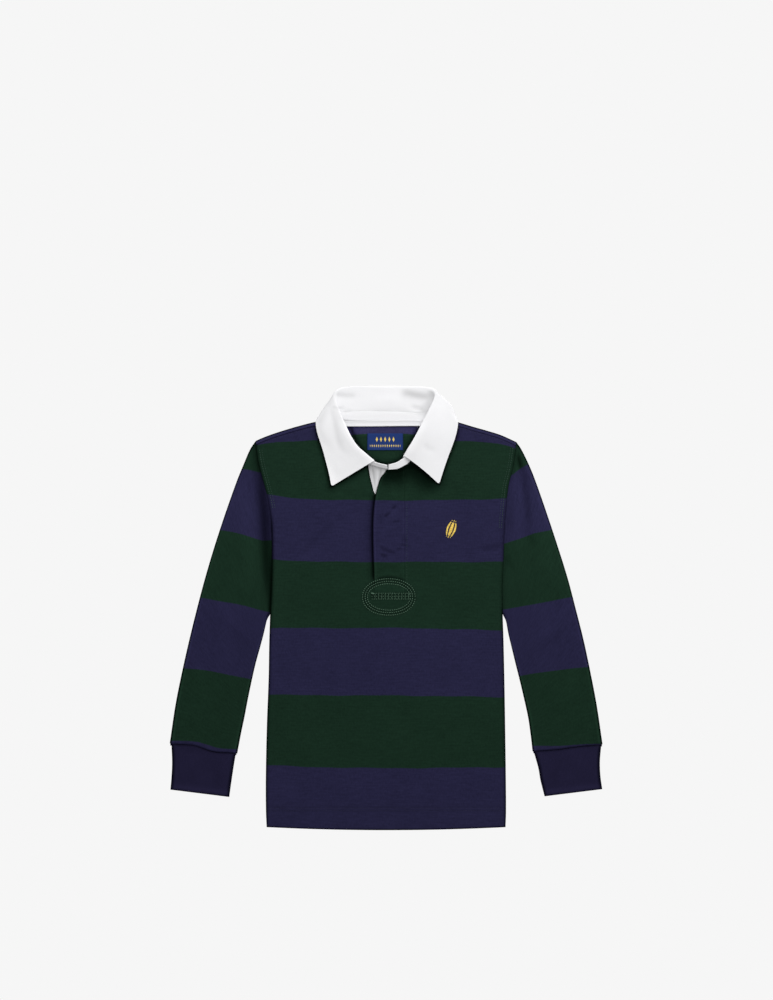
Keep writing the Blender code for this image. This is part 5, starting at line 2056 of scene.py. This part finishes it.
@dataclass
class Stitching:
    """All the rows of thread that hold the shirt together, as one piece for each colour."""

    front: FrontPanel
    flap: PlacketFlap

    def top(self, x: Array, y: Array) -> Array:
        """The height of whatever cloth is uppermost on the front."""
        flap = (x > BODY.slit_line("flap")(y)) & (x < BODY.stitch_x) & (y > BODY.notch_y)
        return np.where(flap, self.flap.face(x, y), self.front.face(x, y))

    def placket(self, finish: Finish) -> Piece:
        """The oval rows and the bar that hold the placket's foot.

        Args:
            finish: the thread's material.

        Returns:
            The piece.
        """
        width, height = BODY.oval_half
        rows = [
            StitchRow(oval(BODY.oval_centre, width - inset, height - inset), self.top, 1.9, 0.75, 0.50)
            for inset in (0.0, 3.1, 6.0)
        ]
        for y in (17.8, 14.2, 10.8):
            path = np.array([[-17.6, y], [30.8, y]])
            rows.append(StitchRow(path, self.top, 1.9, 0.8, 0.38))
        for x in np.arange(-13.0, 31.0, 4.0):
            path = np.array([[x, 10.9], [x + 0.1, 17.8]])
            rows.append(StitchRow(path, self.top, 3.1, 0.5, 0.30))
        rows.append(StitchRow(np.array([[-18.2, 18.2], [-13.4, 16.8]]), self.top, 4.4, 50.0, 0.95))
        return sew("placket_embroidery", rows, finish)

    def seams(self, finish: Finish) -> Piece:
        """The hem's twin needle rows and the shoulders' topstitching.

        Args:
            finish: the thread's material.

        Returns:
            The piece.
        """
        rows = []
        across = np.linspace(-139.0, 139.0, 80)
        for y in (BODY.hem_seam_y - BODY.needle_gap, BODY.hem_seam_y + BODY.needle_gap):
            rows.append(StitchRow(np.column_stack([across, np.full(80, y)]), self.top))
        for side in (-1, 1):
            x = side * np.linspace(68.0, 150.0, 50)
            rows.append(StitchRow(np.column_stack([x, BODY.front_top(x) - 1.7]), self.top, 2.1, 0.9, 0.17))
        return sew("hem_topstitching", rows, finish)

    def lighter_seams(self, finish: Finish) -> Piece:
        """The topstitching beside the armholes and down the placket's fixed side, in a green thread lighter than the
        cloth, which stands in part for the highlight on the seam's raised edge.

        Args:
            finish: the thread's material.

        Returns:
            The piece.
        """
        up = np.linspace(30.0, 126.0, 60)
        rows = [StitchRow(np.column_stack([np.full(60, BODY.stitch_x + 3.4), up]), self.top, 1.8, 1.3, 0.13)]
        for side, foot in ((-1, 120.0), (1, 96.0)):
            y = np.linspace(foot, 192.0, 90)
            for inset, radius in ((3.4, 0.30), (6.2, 0.20)):
                path = np.column_stack([BODY.edge(side)(y) - side * inset, y])
                rows.append(StitchRow(path, self.top, 1.9, 0.9, radius))
        return sew("armhole_topstitching", rows, finish)


@dataclass
class ChestMotif:
    """A small satin-stitched rugby ball on the wearer's left chest."""

    front: FrontPanel
    centre: tuple[float, float] = (78.2, 94.8)
    half_length: float = 14.2
    half_width: float = 5.7
    tilt: float = 70.0
    strand: float = 0.46

    def rows(self) -> list[StitchRow]:
        """The strands, side by side across the ball, split where its panels and lacing are.

        Returns:
            A row for each strand.
        """
        made = []
        tilt = math.radians(self.tilt)
        along, across = np.array([math.cos(tilt), math.sin(tilt)]), np.array([-math.sin(tilt), math.cos(tilt)])

        def face(x: Array, y: Array) -> Array:
            """The height of the mound of thread."""
            dx, dy = x - self.centre[0], y - self.centre[1]
            a = (dx * along[0] + dy * along[1]) / self.half_length
            b = (dx * across[0] + dy * across[1]) / self.half_width
            return self.front.face(x, y) + 0.55 * np.sqrt(np.clip(1 - a * a - b * b, 0, 1))

        for place in np.arange(-self.half_length + 0.5, self.half_length, self.strand):
            share = place / self.half_length
            half = self.half_width * (1 - abs(share) ** 1.9)
            if half < 0.7 or abs(abs(share) - 0.62) < 0.035:
                continue
            bow, band = half * 0.46, 0.55
            for low, high in ((-half, -bow - band), (-bow + band, bow - band), (bow + band, half)):
                if high - low >= 0.8:
                    ends = [np.array(self.centre) + along * place + across * edge for edge in (low, high)]
                    made.append(StitchRow(np.array(ends), face, high - low - 0.01, 50.0, self.strand * 0.64))
        for place in (-3.2, -1.1, 1.1, 3.2):
            ends = [np.array(self.centre) + along * place + across * edge for edge in (-1.3, 1.3)]
            made.append(StitchRow(np.array(ends), lambda x, y: face(x, y) + 0.4, 2.55, 50.0, 0.34))
        return made

    def build(self, finish: Finish) -> Piece:
        """Makes the motif."""
        return sew("chest_embroidery", self.rows(), finish)


# ---- studio


@dataclass
class Studio:
    """A pale floor, soft light from all round with more from the collar's side, and the camera above."""

    view_centre: tuple[float, float] = (0.0006, 0.1296)
    camera_height: float = 6.0
    frame_height: float = 1.2
    sensor: float = 36.0
    floor_colour: Colour = (0.922, 0.922, 0.922)
    floor_reach: float = 8.0
    floor_z: float = -0.0004
    world_strength: float = 0.42
    key_power: float = 15.0
    key_size: float = 1.0

    def floor(self) -> Piece:
        """A wide pale floor that glows evenly, as a lit sweep does.

        Returns:
            The floor.
        """
        turns = ((-1, -1), (1, -1), (1, 1), (-1, 1))
        corners = [(x * self.floor_reach, y * self.floor_reach, self.floor_z) for x, y in turns]
        data = bpy.data.meshes.new("studio_floor")
        data.from_pydata(corners, [], [(0, 1, 2, 3)])
        made = new_object("studio_floor", data)
        graph = Graph("floor_paper")
        glow = {"Base Color": (0.0, 0.0, 0.0), "Emission Color": self.floor_colour, "Emission Strength": 1.0}
        made.data.materials.append(graph.finish(glow | {"Roughness": 1.0, "Specular IOR Level": 0.0}))
        return made

    def light(self, name: str, place: tuple[float, float, float], power: float, size: float) -> Piece:
        """A soft square light aimed at the shirt's middle.

        Args:
            name: the lamp's name.
            place: where it hangs.
            power: its power in watts.
            size: how wide it is.

        Returns:
            The lamp.
        """
        data = bpy.data.lights.new(name, "AREA")
        data.energy = power
        data.size = size
        made = new_object(name, data)
        made.location = place
        made.rotation_euler = (-Vector(place)).to_track_quat("-Z", "Y").to_euler()
        return made

    def camera(self) -> Piece:
        """The camera, straight above.

        Returns:
            The camera.
        """
        data = bpy.data.cameras.new("camera")
        data.sensor_fit = "AUTO"
        data.sensor_width = self.sensor
        data.lens = self.sensor * self.camera_height / self.frame_height
        data.clip_end = 100.0
        made = new_object("camera", data)
        made.matrix_world = Matrix.Translation((*self.view_centre, self.camera_height))
        bpy.context.scene.camera = made
        return made

    def build(self) -> None:
        """Sets up everything but the shirt."""
        scene = bpy.context.scene
        scene.view_settings.view_transform = "Standard"
        world = bpy.data.worlds.new("studio")
        world.use_nodes = True
        sky = world.node_tree.nodes["Background"]
        sky.inputs["Color"].default_value = (1.0, 1.0, 1.0, 1.0)
        sky.inputs["Strength"].default_value = self.world_strength
        scene.world = world
        self.floor()
        self.light("key", (0.36, 1.05, 1.0), self.key_power, self.key_size)
        self.light("fill", (-0.9, -0.3, 1.5), self.key_power * 0.10, self.key_size)
        self.camera()
        LOG.info("studio: floor, two lights, camera %.1f m up", self.camera_height)


# ---- the shirt


RIGHT_SLEEVE = Sleeve(
    sheet=Sheet("sleeve_right_cloth", "sleeve_right", Slot.JERSEY, (0.200, 0.372), 0.0515),
    side=-1,
    rows=table(
        SleeveRow,
        (-156.4, 200.3, -139.7, -6.6, 1), (-163.4, 189.6, -141.4, -10, 0.86),
        (-171.6, 170.4, -142.8, -14, 0.68), (-179.6, 150.6, -144.2, -20, 0.50),
        (-193, 112.8, -147, -32, 0.28), (-205.6, 74.4, -151, -47, 0.12),
        (-217, 36, -156.2, -66, 0.03), (-227.2, -2.4, -160.8, -86, 0), (-236.6, -40.8, -165.4, -108, 0),
        (-245.2, -79.2, -169.8, -131, 0), (-252.8, -117.6, -173.8, -150, 0),
        (-259.4, -162.4, -178.4, -174.4, 0),
    ),
    stripe_edges=(
        ((-257, -159.4), (-244, -159), (-228, -160.2), (-213.6, -164.4), (-201.6, -167.8), (-180, -169)),
        ((-242, -72), (-206, -76.4), (-162, -85.6)),
        ((-218.4, 12), (-180, 4.8), (-141.6, -4.4)),
        ((-196.8, 93.4), (-172, 88.2), (-148.8, 81.2)),
        ((-167, 166.8), (-160, 165), (-152, 162.8)),
    ),
    creases=table(
        Crease,
        (((-153.5, 172), (-150, 140), (-147, 108), (-145.5, 70), (-143.5, 0)), -1.9, 5.6),
        (((-176, 164), (-170, 110), (-165, 50), (-163, 0)), 1.4, 10), (((-190, 60), (-176, 30), (-158, 8)), 0.6, 7),
        (((-214, 20), (-196, -8), (-172, -34)), 0.6, 8), (((-208, 4), (-190, -22), (-166, -46)), -0.5, 6),
        (((-236, -60), (-216, -92), (-192, -118)), 0.6, 9), (((-228, -76), (-206, -104), (-180, -126)), -0.4, 7),
        (((-246, -120), (-224, -134), (-196, -140)), 0.5, 8),
    ),
    seam_wave=2.6,
    ripple=Undulation(seed=21, height=0.11),
    armhole_shade=0.38,
    armhole_shade_reach=SmoothLine((-8, 10, 40, 90, 130, 150, 172, 200), (4, 7, 14, 23, 23, 19, 13, 9)),
)
LEFT_SLEEVE = Sleeve(
    sheet=Sheet("sleeve_left_cloth", "sleeve_left", Slot.JERSEY, (0.200, 0.372), 0.0515),
    side=1,
    rows=table(
        SleeveRow,
        (156.6, 199, 140.6, -6.6, 1), (162.8, 189.6, 142, -10, 0.86), (171.6, 171.6, 143.4, -14, 0.68),
        (179.8, 151.2, 144.8, -20, 0.50), (193.2, 112.8, 147, -32, 0.28), (205.9, 74.4, 150.6, -47, 0.12),
        (217.9, 36, 155.2, -66, 0.03), (228, -2.4, 160.2, -86, 0), (237.6, -40.8, 165.4, -108, 0),
        (245.7, -79.2, 170.4, -131, 0), (253, -117.6, 173.2, -150, 0), (259.8, -163.6, 175.8, -172, 0),
    ),
    stripe_edges=(
        ((176.4, -165.5), (202.6, -165.2), (230.2, -163.8), (257.6, -162.8)),
        ((160.8, -81.4), (202, -74.8), (242.4, -70.8)),
        ((142.8, -1.2), (166.8, 2.4), (196.8, 8.5), (224.4, 13.2)),
        ((140.4, 76.8), (160.8, 83), (178.8, 90), (199.2, 94)),
        ((148.8, 157.6), (154, 161.4), (162, 167.8), (171.6, 173.6)),
    ),
    creases=table(
        Crease,
        (((158.5, 184), (163, 168), (167.4, 142), (170.4, 108), (172.6, 84)), -1.25, 4.2),
        (((158.4, 184), (160.4, 175), (161.4, 166)), -3.2, 2.4), (((169, 176), (177, 150), (186, 118)), 1.3, 3.6),
        (((150, 136), (150.5, 110), (149, 84)), -0.6, 3.6), (((184, 150), (190, 100), (200, 20)), 1.2, 10),
        (((171, 90), (175, 80), (180, 70)), -0.8, 4), (((142, 64), (147, 54), (154, 44)), -0.8, 4),
        (((160, 150), (158, 100), (160, 50)), 0.8, 6), (((226, 4), (208, -20), (182, -42)), 0.6, 8),
        (((218, -18), (200, -38), (176, -58)), -0.45, 6.5), (((238, -66), (220, -96), (196, -124)), 0.6, 9),
        (((246, -124), (224, -136), (198, -142)), 0.45, 8),
    ),
    seam_wave=0.6,
    ripple=Undulation(seed=34, height=0.11),
    armhole_shade=0.12,
    armhole_shade_reach=SmoothLine((-8, 40, 90, 130, 200), (5, 8, 10, 8, 6)),
)
RIGHT_CUFF = Cuff(
    sheet=Sheet("cuff_right_cloth", "cuff_right", Slot.RIB, (0.164, 0.056)),
    side=-1,
    rows=table(
        SleeveRow,
        (-257.4, -163, -180.2, -174.8), (-256.6, -184, -182.8, -190.6), (-257.2, -201, -185.4, -208),
        (-258.6, -217.8, -188, -226.6),
    ),
    seam_wave=2.6,
    creases=table(
        Crease,
        (((-238, -172), (-226, -196), (-218, -220)), 0.4, 9), (((-206, -182), (-204, -214)), -0.4, 8),
        (((-246, -169), (-228, -172), (-214, -176)), -0.5, 3.4),
    ),
)
LEFT_CUFF = Cuff(
    sheet=Sheet("cuff_left_cloth", "cuff_left", Slot.RIB, (0.166, 0.054)),
    side=1,
    rows=table(
        SleeveRow,
        (258.2, -164, 177.2, -172.2), (256.6, -184, 182.6, -191.4), (257.2, -201, 185.4, -207),
        (259.4, -217.2, 190.2, -225.8),
    ),
    seam_wave=0.6,
    creases=table(
        Crease,
        (((236, -172), (228, -196), (222, -220)), 0.4, 9), (((204, -180), (206, -214)), -0.35, 8),
    ),
)


def main() -> None:
    """Dresses the shirt in the order it is sewn."""
    logging.basicConfig(level=logging.INFO, format="%(message)s")
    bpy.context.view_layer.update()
    Studio().build()
    jersey, rib, twill = Jersey().material(), Rib().material(), Twill().material()
    label = WovenLabel().material()
    front, flap = FrontPanel(), PlacketFlap()
    BackPanel().build(jersey)
    UnderPlacket().build(twill)
    front.build(jersey)
    flap.build(jersey)
    RIGHT_SLEEVE.build(jersey)
    LEFT_SLEEVE.build(jersey)
    RIGHT_CUFF.build(rib)
    LEFT_CUFF.build(rib)
    for name, sleeve in (("right", RIGHT_SLEEVE), ("left", LEFT_SLEEVE)):
        SeamAllowance(f"armhole_seam_{name}", end_share=0.2).build(sleeve.armhole(), jersey, Slot.JERSEY)
        SeamAllowance(f"cuff_seam_{name}").build(sleeve.cuff_seam(), rib, Slot.RIB)
    NeckTape().build(twill)
    NeckLabel().build(label)
    collar = Collar()
    collar.build_stand(twill)
    collar.build_fall(twill)
    sewing = Stitching(front, flap)
    sewing.placket(Thread("green_thread", GREEN_THREAD).material())
    sewing.seams(Thread("navy_thread", NAVY_THREAD).material())
    sewing.lighter_seams(Thread("seam_thread", SEAM_GREEN).material())
    ChestMotif(front).build(Thread("gold_thread", GOLD, 0.5, 0.4).material())


if __name__ == "__main__":
    main()
